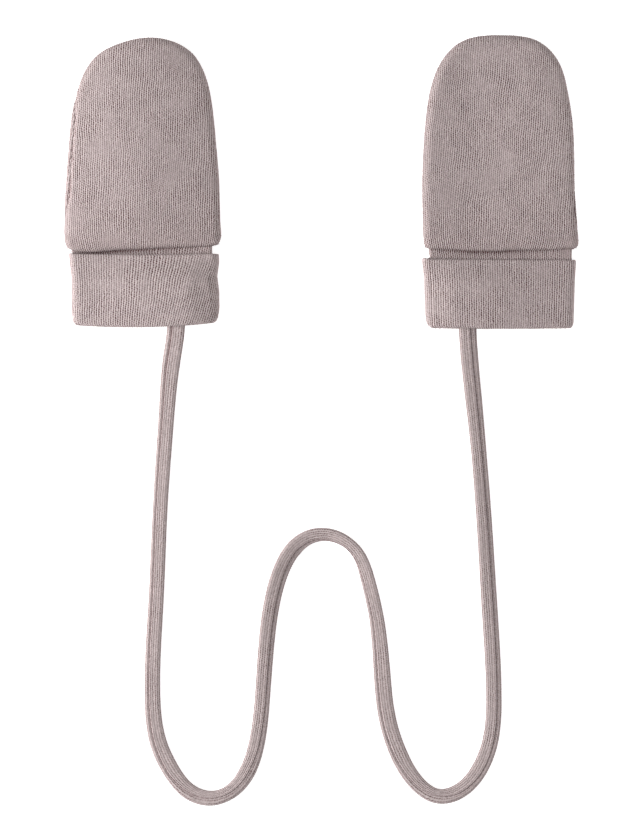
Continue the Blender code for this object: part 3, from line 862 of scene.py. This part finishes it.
def near_groove(section, width):
    """How near each point of the cord's outline is to the groove, 0 to 1."""
    return bell(section[:, 0] - GROOVE_ACROSS, width) * (section[:, 1] > 0)


def cord_ring_places(path):
    """All the points of the cord's surface, ring by ring, resting on the floor or on the cuff's cloth, and
    how far each ring was lifted for that."""
    right, upward = cord_frames(path)
    section = cord_section()
    groove, pull = shared(path, CORD_GROOVE)
    half = CORD_WIDTH / 2
    body_side = (half + groove) / (half + GROOVE_ACROSS)
    edge_side = (CORD_EDGE - groove) / (CORD_EDGE - GROOVE_ACROSS)
    away = section[None, :, 0] - GROOVE_ACROSS
    across = groove + away * np.where(away < 0, body_side, edge_side)
    filled = section[:, 1] + GROOVE_FILLED * near_groove(section, 0.45)
    height = mix(filled, section[None, :, 1], pull)
    wide = right * shared(path, CORD_WIDTHS)[0] / CORD_WIDTH
    places = path[:, None, :] + across[:, :, None] * wide[:, None, :]
    places = places + height[:, :, None] * upward[:, None, :]
    rest = path[:, 2] - CORD_THICK / 2
    lift = rest - places[:, :, 2].min(axis=1)
    places[:, :, 2] += lift[:, None]
    return places, lift


def cord_piece(knit, material):
    """The cord as one closed tube of jersey, folded lengthwise, with its path's points."""
    path = cord_path(knit.course / ROWS_PER_COURSE)
    places, _ = cord_ring_places(path)
    rows, columns = places.shape[:2]
    numbers = np.arange(rows * columns).reshape(rows, columns)
    after = np.roll(numbers, -1, axis=1)
    faces = np.stack((numbers[:-1], after[:-1], after[1:], numbers[1:]), axis=-1).reshape(-1, 4).tolist()
    faces.append(numbers[0][::-1].tolist())
    faces.append(numbers[-1].tolist())
    around, along = np.meshgrid(np.arange(columns) / COLUMNS_PER_WALE, np.arange(rows) / ROWS_PER_COURSE)
    weave = np.stack((around.ravel(), along.ravel()), axis=1)
    weights = np.ones((rows, columns))
    weights[:2] = 0.0
    weights[-2:] = 0.0
    # Painted shade in the cord's groove
    crease = (shared(path, GROOVE_SHADE)[0] * near_groove(cord_section(), 0.4)).ravel()
    places = places.reshape(-1, 3)
    piece = mesh_piece("cord_jersey", places, faces, weave, weights.ravel(), material, crease, CORD_WALES)
    return piece, path


# Geometry nodes

MATH = "ShaderNodeMath"
VECTOR_MATH = "ShaderNodeVectorMath"
MAP_RANGE = "ShaderNodeMapRange"
NOISE = "ShaderNodeTexNoise"
SET_MATERIAL = "GeometryNodeSetMaterial"


def node(tree, kind, links=None, **settings):
    """Adds a node, sets its settings, and links or sets its inputs by name or number. A node given as an
    input stands for its first output."""
    made = tree.nodes.new(kind)
    for key, value in settings.items():
        setattr(made, key, value)
    for key, value in (links or {}).items():
        socket = made.inputs[key]
        if isinstance(value, bpy.types.Node):
            value = value.outputs[0]
        if isinstance(value, bpy.types.NodeSocket):
            tree.links.new(value, socket)
        else:
            socket.default_value = value
    return made


def new_group(name, inputs):
    """An empty geometry tree with these named inputs, which is given back with its two end nodes."""
    tree = bpy.data.node_groups.new(name, "GeometryNodeTree")
    tree.interface.new_socket("Geometry", in_out="OUTPUT", socket_type="NodeSocketGeometry")
    tree.interface.new_socket("Geometry", in_out="INPUT", socket_type="NodeSocketGeometry")
    for label, kind, default in inputs:
        socket = tree.interface.new_socket(label, in_out="INPUT", socket_type=kind)
        if default is not None:
            socket.default_value = default
    return tree, tree.nodes.new("NodeGroupInput"), tree.nodes.new("NodeGroupOutput")


def knit_waves(tree, wale, course, nudge, counting):
    """Nodes for the knit's two waves: 0 to 1 across each wale, and -1 to 1 along it with one wave a course,
    every second wale half a course further on, as in interlock jersey."""
    across = node(tree, MATH, {0: wale, 1: math.pi}, operation="MULTIPLY")
    swing = node(tree, MATH, {0: across}, operation="SINE")
    ridge = node(tree, MATH, {0: swing}, operation="ABSOLUTE")
    nudged = node(tree, MATH, {0: wale, 1: nudge}, operation="ADD")
    number = node(tree, MATH, {0: nudged}, operation=counting)
    parity = node(tree, MATH, {0: number, 1: 2.0}, operation="FLOORED_MODULO")
    shifted = node(tree, MATH, {0: parity, 1: 0.5, 2: course}, operation="MULTIPLY_ADD")
    along = node(tree, MATH, {0: shifted, 1: 2 * math.pi}, operation="MULTIPLY")
    return ridge, node(tree, MATH, {0: along}, operation="COSINE")


def knit_height(tree, wale, course, bead_share):
    """Nodes for the height of the knit, 0 to 1: a ridge on each wale with one bead for each course."""
    ridge, wave = knit_waves(tree, wale, course, 0.001, "FLOOR")
    half = bead_share / 2
    bead = node(tree, MATH, {0: wave, 1: -half, 2: 1 - half}, operation="MULTIPLY_ADD")
    return node(tree, MATH, {0: ridge, 1: bead}, operation="MULTIPLY")


def knit_gaps(tree, wale, course):
    """Nodes for how much of the dark between two wales shows, 0 to 1: a narrow line with one dot a course."""
    ridge, wave = knit_waves(tree, wale, course, 0.0, "ROUND")
    valley = node(tree, MATH, {0: 1.0, 1: ridge}, operation="SUBTRACT")
    narrow = node(tree, MATH, {0: valley, 1: 0.95}, operation="POWER")
    dot = node(tree, MATH, {0: wave, 1: 0.3, 2: 0.7}, operation="MULTIPLY_ADD")
    return node(tree, MATH, {0: narrow, 1: dot}, operation="MULTIPLY")


def relief_tree():
    """Raises the knit on any mesh that has knit coordinates on its points."""
    inputs = (
        ("Stitch Depth", "NodeSocketFloat", 0.0003), ("Unevenness", "NodeSocketFloat", 0.5),
        ("Patch Size", "NodeSocketFloat", 0.01), ("Material", "NodeSocketMaterial", None),
    )
    tree, start, end = new_group("Knit Relief", inputs)
    knit = node(tree, "GeometryNodeInputNamedAttribute", {"Name": "knit"}, data_type="FLOAT_VECTOR")
    parts = node(tree, "ShaderNodeSeparateXYZ", {0: knit.outputs["Attribute"]})
    height = knit_height(tree, parts.outputs["X"], parts.outputs["Y"], 0.55)
    place = node(tree, "GeometryNodeInputPosition")
    scale = node(tree, MATH, {0: 1.0, 1: start.outputs["Patch Size"]}, operation="DIVIDE")
    patches = node(tree, NOISE, {"Vector": place, "Scale": scale, "Detail": 2.0}, noise_dimensions="3D")
    least = node(tree, MATH, {0: 1.0, 1: start.outputs["Unevenness"]}, operation="SUBTRACT")
    spread = {"Value": patches, "From Min": 0.35, "From Max": 0.65, "To Min": least, "To Max": 1.0}
    uneven = node(tree, MAP_RANGE, spread)
    chance = node(tree, "FunctionNodeRandomValue", {"Min": 0.7, "Max": 1.1, "Seed": 7}, data_type="FLOAT")
    rough = node(tree, MATH, {0: height, 1: chance.outputs[1]}, operation="MULTIPLY")
    sunk = node(tree, MATH, {0: rough, 1: 1.0}, operation="SUBTRACT")
    deep = node(tree, MATH, {0: sunk, 1: start.outputs["Stitch Depth"]}, operation="MULTIPLY")
    varied = node(tree, MATH, {0: deep, 1: uneven}, operation="MULTIPLY")
    weighted = node(tree, MATH, {0: varied, 1: parts.outputs["Z"]}, operation="MULTIPLY")
    normal = node(tree, "GeometryNodeInputNormal")
    offset = node(tree, VECTOR_MATH, {0: normal, "Scale": weighted}, operation="SCALE")
    moved = node(tree, "GeometryNodeSetPosition", {"Geometry": start.outputs["Geometry"], "Offset": offset})
    real = node(tree, "GeometryNodeRealizeInstances", {"Geometry": moved})
    coloured = node(tree, SET_MATERIAL, {"Geometry": real, "Material": start.outputs["Material"]})
    tree.links.new(coloured.outputs[0], end.inputs[0])
    return tree


def stitch_tree():
    """Sews stitches along a curve: one thread bead for each stitch, turned across the line by an angle."""
    inputs = (
        ("Stitch Pitch", "NodeSocketFloat", 0.0022), ("Stitch Length", "NodeSocketFloat", 0.0017),
        ("Thread Width", "NodeSocketFloat", 0.0004), ("Slant", "NodeSocketFloat", 0.0),
        ("Material", "NodeSocketMaterial", None),
    )
    tree, start, end = new_group("Stitches", inputs)
    line = {"Curve": start.outputs["Geometry"], "Length": start.outputs["Stitch Pitch"]}
    points = node(tree, "GeometryNodeCurveToPoints", line, mode="LENGTH")
    bead = node(tree, "GeometryNodeMeshIcoSphere", {"Radius": 0.5, "Subdivisions": 2})
    tangent = {"Vector": points.outputs["Tangent"]}
    turned = node(tree, "FunctionNodeAlignRotationToVector", tangent, axis="X")
    slant = node(tree, "ShaderNodeCombineXYZ", {"Z": start.outputs["Slant"]})
    slanted = node(tree, "FunctionNodeRotateRotation", {0: turned, 1: slant}, rotation_space="LOCAL")
    width = start.outputs["Thread Width"]
    size = node(tree, "ShaderNodeCombineXYZ", {"X": start.outputs["Stitch Length"], "Y": width, "Z": width})
    each = {"Points": points, "Instance": bead, "Rotation": slanted, "Scale": size}
    placed = node(tree, "GeometryNodeInstanceOnPoints", each)
    real = node(tree, "GeometryNodeRealizeInstances", {"Geometry": placed})
    smooth = node(tree, "GeometryNodeSetShadeSmooth", {"Geometry": real})
    coloured = node(tree, SET_MATERIAL, {"Geometry": smooth, "Material": start.outputs["Material"]})
    tree.links.new(coloured.outputs[0], end.inputs[0])
    return tree


def through_nodes(thing, tree, values):
    """Runs a geometry tree on an object with these inputs, and puts a plain mesh object in its place."""
    modifier = thing.modifiers.new(tree.name, "NODES")
    modifier.node_group = tree
    for item in tree.interface.items_tree:
        if item.in_out == "INPUT" and item.name in values:
            modifier[item.identifier] = values[item.name]
    thing.update_tag()
    graph = bpy.context.evaluated_depsgraph_get()
    mesh = bpy.data.meshes.new_from_object(thing.evaluated_get(graph))
    mesh.materials.clear()
    mesh.materials.append(values["Material"])
    mesh.polygons.foreach_set("material_index", [0] * len(mesh.polygons))
    name = thing.name
    bpy.data.objects.remove(thing)
    mesh.name = name
    made = bpy.data.objects.new(name, mesh)
    bpy.context.scene.collection.objects.link(made)
    return made


def raise_knit(piece, knit, material, share=1.0):
    tree = bpy.data.node_groups.get("Knit Relief") or relief_tree()
    values = {
        "Stitch Depth": knit.depth * share * MM,
        "Unevenness": knit.unevenness,
        "Patch Size": knit.patch * MM,
        "Material": material,
    }
    return through_nodes(piece, tree, values)


def sew(name, places, pitch, length, width, slant, material):
    """Stitches along a line through places in millimetres."""
    data = bpy.data.curves.new(name, "CURVE")
    data.dimensions = "3D"
    spline = data.splines.new("POLY")
    spline.points.add(len(places) - 1)
    flat = np.concatenate((places * MM, np.ones((len(places), 1))), axis=1)
    spline.points.foreach_set("co", flat.ravel())
    line = bpy.data.objects.new(name, data)
    bpy.context.scene.collection.objects.link(line)
    tree = bpy.data.node_groups.get("Stitches") or stitch_tree()
    values = {
        "Stitch Pitch": pitch,
        "Stitch Length": length,
        "Thread Width": width,
        "Slant": slant,
        "Material": material,
    }
    return through_nodes(line, tree, values)


def cord_sewing(knit, settings, material):
    """The lockstitch in the cord's groove."""
    path = cord_path(knit.course / ROWS_PER_COURSE)
    right, upward = cord_frames(path)
    _, lift = cord_ring_places(path)
    groove, pull = shared(path, CORD_GROOVE)
    height = mix(GROOVE_TOP + GROOVE_FILLED, GROOVE_TOP, pull) + THREAD_RISE
    places = path + groove * right * (shared(path, CORD_WIDTHS)[0] / CORD_WIDTH) + height * upward
    places[:, 2] += lift
    pitch = settings.cord_pitch
    sewn = places[UNSEWN:-UNSEWN]
    return sew("cord_stitches", sewn, pitch, pitch * CORD_STITCH, settings.thread_width, 0.0, material)


def side_sewing(mitten, settings, material):
    """The seam's thread, which crosses the join of front and back all round the hand."""
    edge = panel_edge(mitten)
    keep = (edge.hole < 0.05) & (edge.places[:, 1] > mitten.rows[1].left_up + 1.0)
    angle = edge.seam_top
    rolled = angle / math.radians(mitten.roll.angle)
    depth = SEAM_DRAW + 0.3 - 0.45 * rolled
    reach = edge.rounding * (1 - np.cos(angle)) + depth * np.cos(angle)
    flat = edge.places - edge.outward * reach[:, None]
    z = SEAM_LEVEL + (TOP_RISE - depth) * np.sin(angle)
    places = np.stack((flat[:, 0] + mitten.centre, flat[:, 1], z), axis=1)
    first = int(np.argmax(keep))
    places = places[[i for i in range(first, len(keep)) if keep[i]]]
    pitch = settings.seam_pitch
    name = f"{mitten.name}_seam_stitches"
    width = settings.thread_width * SIDE_THREAD
    return sew(name, places, pitch, pitch * SIDE_STITCH, width, SIDE_SLANT, material)


# Materials


def colour(code):
    """A linear colour from an sRGB hex code such as b3a4a2."""
    parts = [int(code[i : i + 2], 16) / 255 for i in (0, 2, 4)]
    linear = [part / 12.92 if part <= 0.04045 else ((part + 0.055) / 1.055) ** 2.4 for part in parts]
    return (*linear, 1.0)


def new_material(name, looks):
    """A material whose shader has these values at its inputs."""
    material = bpy.data.materials.new(name)
    material.use_nodes = True
    shader = material.node_tree.nodes["Principled BSDF"]
    for key, value in looks.items():
        shader.inputs[key].default_value = value
    return material, material.node_tree, shader


def wool_jersey(name, light, dark, sheen, openness):
    """Interlock jersey of fine merino yarn. The yarn's crests are pale and slightly hairy, which the sheen
    gives, and the gaps between wales are darker, because little light comes out of them. Fibres of two close
    shades were spun together, so the cloth is faintly mottled."""
    looks = {"Roughness": 0.95, "Specular IOR Level": 0.2, "Sheen Weight": sheen, "Sheen Roughness": 0.5}
    material, tree, shader = new_material(name, looks | {"Sheen Tint": colour(light)})
    uv = node(tree, "ShaderNodeUVMap", uv_map="knit_map")
    centred = node(tree, VECTOR_MATH, {0: uv, 1: (-0.5, -0.5, 0.0)}, operation="ADD")
    counted = node(tree, VECTOR_MATH, {0: centred, "Scale": UV_SPAN}, operation="SCALE")
    parts = node(tree, "ShaderNodeSeparateXYZ", {0: counted})
    place = node(tree, "ShaderNodeTexCoord").outputs["Object"]
    # No stitch lies quite where its neighbours lead one to expect: they stray by about 0.15 mm
    stray = node(tree, NOISE, {"Vector": place, "Scale": 800.0, "Detail": 0.0})
    centred_stray = node(tree, MATH, {0: stray, 1: 0.5}, operation="SUBTRACT")
    wale = node(tree, MATH, {0: centred_stray, 1: 0.5, 2: parts.outputs["X"]}, operation="MULTIPLY_ADD")
    course = node(tree, MATH, {0: centred_stray, 1: -0.9, 2: parts.outputs["Y"]}, operation="MULTIPLY_ADD")
    knitted = knit_height(tree, wale, course, 0.6)
    gaps = knit_gaps(tree, wale, course)
    # Where the cloth lies slack, over patches of about 10 mm, the gaps between its stitches close
    slack = node(tree, NOISE, {"Vector": place, "Scale": 95.0, "Detail": 2.0})
    spread = {"Value": slack, "From Min": 0.36, "From Max": 0.64}
    spread |= {"To Min": 0.7 * openness, "To Max": 2.6 * openness}
    open_gaps = node(tree, MAP_RANGE, spread)
    lined = node(tree, "ShaderNodeMix", {"Factor": open_gaps, 2: 0.24, 3: gaps}, data_type="FLOAT")
    lined.clamp_factor = False
    # Painted shade from the crease attribute, in the crease under the hem, round the folded rims, in the
    # joins and the cord's groove: the colour is mixed towards the dark gap colour, which is red, as light
    # that comes out of such shade has gone red between the fibres
    painted_shade_attribute = node(tree, "ShaderNodeAttribute", attribute_name="crease")
    sunk = node(tree, MATH, {0: painted_shade_attribute.outputs["Fac"], 1: PAINTED_SHADE_STRENGTH, 2: lined}, operation="MULTIPLY_ADD")
    # Mottling of the spun yarn, about 0.8 mm, and wider paler patches, about 12 mm
    flecks = node(tree, NOISE, {"Vector": place, "Scale": 1250.0, "Detail": 2.0})
    patches = node(tree, NOISE, {"Vector": place, "Scale": 85.0, "Detail": 2.0})
    yarn = {"Factor": sunk, 6: colour(light), 7: colour(dark)}
    base = node(tree, "ShaderNodeMix", yarn, data_type="RGBA")
    spread = {"Value": flecks, "From Min": 0.3, "From Max": 0.7, "To Min": 0.92, "To Max": 1.06}
    fleck_tone = node(tree, MAP_RANGE, spread)
    spread = {"Value": patches, "From Min": 0.3, "From Max": 0.7, "To Min": 0.975, "To Max": 1.025}
    patch_tone = node(tree, MAP_RANGE, spread)
    both = node(tree, MATH, {0: fleck_tone, 1: patch_tone}, operation="MULTIPLY")
    # Each stitch reflects a little more or less than the next
    stitch = node(tree, VECTOR_MATH, {0: counted, 1: (1.0, 1.0, 0.0)}, operation="MULTIPLY")
    cell = node(tree, VECTOR_MATH, {0: stitch}, operation="FLOOR")
    chance = node(tree, "ShaderNodeTexWhiteNoise", {"Vector": cell})
    stitch_tone = node(tree, MAP_RANGE, {"Value": chance.outputs["Value"], "To Min": 0.9, "To Max": 1.1})
    all_three = node(tree, MATH, {0: both, 1: stitch_tone}, operation="MULTIPLY")
    toned = node(tree, VECTOR_MATH, {0: base.outputs[2], "Scale": all_three}, operation="SCALE")
    tree.links.new(toned.outputs[0], shader.inputs["Base Color"])
    # Single fibres, about 0.15 mm apart, which is as fine as the picture can show
    fibres = node(tree, NOISE, {"Vector": place, "Scale": 6500.0, "Detail": 1.0})
    hairy = node(tree, MATH, {0: fibres, 1: 0.35, 2: knitted}, operation="MULTIPLY_ADD")
    bump = node(tree, "ShaderNodeBump", {"Height": hairy, "Strength": 0.35, "Distance": 0.00025})
    tree.links.new(bump.outputs[0], shader.inputs["Normal"])
    return material


def sewing_thread(name, code):
    """Spun polyester sewing thread: a little smoother than the wool, so it keeps a soft gloss."""
    material, tree, shader = new_material(name, {"Roughness": 0.7})
    place = node(tree, "ShaderNodeTexCoord").outputs["Object"]
    # The two plies of the thread, one turn about every 0.6 mm
    plies = node(tree, NOISE, {"Vector": place, "Scale": 1700.0, "Detail": 1.0})
    spread = {"Value": plies, "From Min": 0.3, "From Max": 0.7, "To Min": 0.8, "To Max": 1.1}
    ramp = node(tree, MAP_RANGE, spread)
    toned = node(tree, VECTOR_MATH, {0: colour(code)[:3], "Scale": ramp}, operation="SCALE")
    tree.links.new(toned.outputs[0], shader.inputs["Base Color"])
    bump = node(tree, "ShaderNodeBump", {"Height": plies, "Strength": 0.4, "Distance": 0.0001})
    tree.links.new(bump.outputs[0], shader.inputs["Normal"])
    return material


def light_table():
    """Opal acrylic lit from below, so that the mittens stand alone with hardly a shadow."""
    glow = {"Emission Color": colour("ffffff"), "Emission Strength": 0.62}
    looks = {"Base Color": colour("f6f6f6"), "Roughness": 1.0, "Specular IOR Level": 0.0}
    return new_material("opal_light_table", glow | looks)[0]


# Settings

Knit = namedtuple("Knit", "wale course depth unevenness patch")


class KnitSettings(bpy.types.PropertyGroup):
    wale: FloatProperty(
        name="Wale Spacing",
        description="From one column of stitches to the next",
        default=1.01 * MM, subtype="DISTANCE",
    )
    course: FloatProperty(
        name="Course Spacing",
        description="From one row of stitches to the next",
        default=1.04 * MM, subtype="DISTANCE",
    )
    depth: FloatProperty(
        name="Stitch Depth",
        description="How deep the gap between two wales is",
        default=0.36 * MM, subtype="DISTANCE",
    )
    unevenness: FloatProperty(
        name="Unevenness",
        description="How much shallower the knit is where it lies slack",
        default=0.45, subtype="FACTOR",
    )
    patch: FloatProperty(
        name="Patch Size", description="Size of the slack patches", default=7.0 * MM, subtype="DISTANCE"
    )

    def in_millimetres(self):
        return Knit(self.wale / MM, self.course / MM, self.depth / MM, self.unevenness, self.patch / MM)


class SewingSettings(bpy.types.PropertyGroup):
    cord_pitch: FloatProperty(
        name="Cord Stitch",
        description="One stitch of the cord's long seam",
        default=2.2 * MM, subtype="DISTANCE",
    )
    seam_pitch: FloatProperty(
        name="Side Stitch",
        description="One stitch of the hand's side seam",
        default=3.2 * MM, subtype="DISTANCE",
    )
    thread_width: FloatProperty(
        name="Thread Width", description="Width of the sewing thread", default=0.38 * MM, subtype="DISTANCE"
    )


class WoolSettings(bpy.types.PropertyGroup):
    light: StringProperty(name="Crest", description="Colour of the yarn, sRGB hex", default="b0a4a3")
    # The gap colour is painted shade, between the wales and wherever the crease attribute darkens the cloth
    dark: StringProperty(name="Gap", description="Colour between the wales, sRGB hex", default="421a1b")
    # The threads are darker than the wool: partly their own colour, partly painted shade of the pits that the
    # stitches pull into the cloth, the seam's most
    thread: StringProperty(
        name="Cord Thread", description="Colour of the thread in the cord, sRGB hex", default="806c6c"
    )
    seam: StringProperty(
        name="Seam Thread", description="Colour of the thread in the side seams, sRGB hex", default="655454"
    )
    sheen: FloatProperty(name="Sheen", description="Glow of the loose fibres", default=0.12, subtype="FACTOR")


class StageSettings(bpy.types.PropertyGroup):
    lens: FloatProperty(name="Lens", description="Focal length in millimetres", default=120.0)
    view_height: FloatProperty(
        name="View Height",
        description="What the picture's long side shows",
        default=386.4 * MM, subtype="DISTANCE",
    )
    key_power: FloatProperty(
        name="Key Light", description="Power of the window light from the left", default=39.5, unit="POWER"
    )
    reflector_power: FloatProperty(
        name="Reflector",
        description="Power of the light thrown back from the right",
        default=6.0, unit="POWER",
    )
    fill_power: FloatProperty(
        name="Fill Light", description="Power of the large light overhead", default=6.0, unit="POWER"
    )


class MittensSettings(bpy.types.PropertyGroup):
    knit: PointerProperty(type=KnitSettings)
    sewing: PointerProperty(type=SewingSettings)
    wool: PointerProperty(type=WoolSettings)
    stage: PointerProperty(type=StageSettings)


def wool_material(name, openness=1.0):
    """The wool of one slot, made once. openness is how far the gaps of its knit stand open."""
    found = bpy.data.materials.get(name)
    if found:
        return found
    wool = bpy.context.scene.mittens.wool
    return wool_jersey(name, wool.light, wool.dark, wool.sheen, openness)


def thread_material(name, code):
    """A thread of one colour, made once."""
    return bpy.data.materials.get(name) or sewing_thread(name, code)


# Operators


class MITTENS_OT_stage(bpy.types.Operator):
    """Lay the white floor and set up the lights and the camera"""

    bl_idname = "mittens.add_stage"
    bl_label = "Add Stage"

    def area_light(self, name, place, aim, width, height, power):
        data = bpy.data.lights.new(name, "AREA")
        data.shape = "RECTANGLE"
        data.size = width
        data.size_y = height
        data.energy = power
        light = bpy.data.objects.new(name, data)
        light.location = place
        light.rotation_euler = (Vector(aim) - Vector(place)).to_track_quat("-Z", "Y").to_euler()
        bpy.context.scene.collection.objects.link(light)

    def execute(self, context):
        stage = context.scene.mittens.stage
        context.scene.view_settings.view_transform = "Standard"
        bpy.ops.mesh.primitive_plane_add(size=6.0, location=(0.0, 0.0, 0.0))
        floor = context.active_object
        floor.name = "light_table"
        floor.data.materials.append(light_table())
        middle = Vector(MIDDLE)
        for name, place, width, height, power in LIGHTS:
            self.area_light(name, place, middle, width, height, getattr(stage, power))
        world = bpy.data.worlds.new("soft_room")
        world.use_nodes = True
        background = world.node_tree.nodes["Background"]
        background.inputs["Color"].default_value = (1.0, 1.0, 1.0, 1.0)
        background.inputs["Strength"].default_value = ROOM_LIGHT
        context.scene.world = world
        data = bpy.data.cameras.new("camera")
        data.lens = stage.lens
        data.sensor_width = 36.0
        camera = bpy.data.objects.new("camera", data)
        distance = stage.view_height * stage.lens / data.sensor_width
        # The picture's scale holds at the height of the seam round the hands
        camera.location = middle + Vector((0.0, 0.0, distance + SEAM_LEVEL * MM))
        context.scene.collection.objects.link(camera)
        context.scene.camera = camera
        return {"FINISHED"}


class MITTENS_OT_hands(bpy.types.Operator):
    """Knit the front and back panels of both mittens"""

    bl_idname = "mittens.add_hands"
    bl_label = "Add Hand Panels"

    def execute(self, context):
        knit = context.scene.mittens.knit.in_millimetres()
        material = wool_material("merino_jersey_hand")
        for mitten in MITTENS:
            for front in (True, False):
                piece = raise_knit(hand_panel(mitten, front, knit, material), knit, material, mitten.relief)
                side = "front" if front else "back"
                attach(piece, "root")
                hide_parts(f"{mitten.name}_mitten_{side}")
        return {"FINISHED"}


class MITTENS_OT_cuffs(bpy.types.Operator):
    """Knit both cuffs, turned up over the wrist"""

    bl_idname = "mittens.add_cuffs"
    bl_label = "Add Cuffs"

    def execute(self, context):
        knit = context.scene.mittens.knit.in_millimetres()
        material = wool_material("merino_jersey_cuff")
        for mitten in MITTENS:
            piece = raise_knit(cuff_piece(mitten, knit, material), knit, material, mitten.relief)
            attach(piece, "root")
            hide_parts(f"{mitten.name}_cuff")
        return {"FINISHED"}


class MITTENS_OT_cord(bpy.types.Operator):
    """Knit the long cord and sew its edge"""

    bl_idname = "mittens.add_cord"
    bl_label = "Add Cord"

    def execute(self, context):
        mittens = context.scene.mittens
        knit = mittens.knit.in_millimetres()
        material = wool_material("merino_jersey_cord", CORD_OPENNESS)
        piece, path = cord_piece(knit, material)
        piece = raise_knit(piece, knit, material, CORD_RELIEF)
        stitches = cord_sewing(knit, mittens.sewing, thread_material("cord_thread", mittens.wool.thread))
        for made in (piece, stitches):
            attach(made, "root")
        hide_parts("cord")
        return {"FINISHED"}


class MITTENS_OT_seams(bpy.types.Operator):
    """Sew the side seams of both hands"""

    bl_idname = "mittens.add_seams"
    bl_label = "Add Side Seams"

    def execute(self, context):
        mittens = context.scene.mittens
        material = thread_material("seam_thread", mittens.wool.seam)
        for mitten in MITTENS:
            stitches = side_sewing(mitten, mittens.sewing, material)
            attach(stitches, "root")
        return {"FINISHED"}


OPERATORS = (MITTENS_OT_stage, MITTENS_OT_cord, MITTENS_OT_hands, MITTENS_OT_cuffs, MITTENS_OT_seams)


class MITTENS_PT_panel(bpy.types.Panel):
    """Lists the mittens' settings and the steps that build them"""

    bl_idname = "MITTENS_PT_panel"
    bl_label = "Baby Mittens"
    bl_space_type = "VIEW_3D"
    bl_region_type = "UI"
    bl_category = "Mittens"

    def draw(self, context):
        mittens = context.scene.mittens
        for group in (mittens.knit, mittens.sewing, mittens.wool, mittens.stage):
            box = self.layout.box()
            for name in group.__annotations__:
                box.prop(group, name)
        for operator in OPERATORS:
            self.layout.operator(operator.bl_idname)


GROUPS = (KnitSettings, SewingSettings, WoolSettings, StageSettings, MittensSettings)
CLASSES = GROUPS + OPERATORS + (MITTENS_PT_panel,)


def register():
    for cls in CLASSES:
        bpy.utils.register_class(cls)
    bpy.types.Scene.mittens = PointerProperty(type=MittensSettings)


def unregister():
    del bpy.types.Scene.mittens
    for cls in reversed(CLASSES):
        bpy.utils.unregister_class(cls)


def main():
    register()
    bpy.ops.mittens.add_stage()
    bpy.ops.mittens.add_cord()
    bpy.ops.mittens.add_hands()
    bpy.ops.mittens.add_cuffs()
    bpy.ops.mittens.add_seams()


if __name__ == "__main__":
    main()
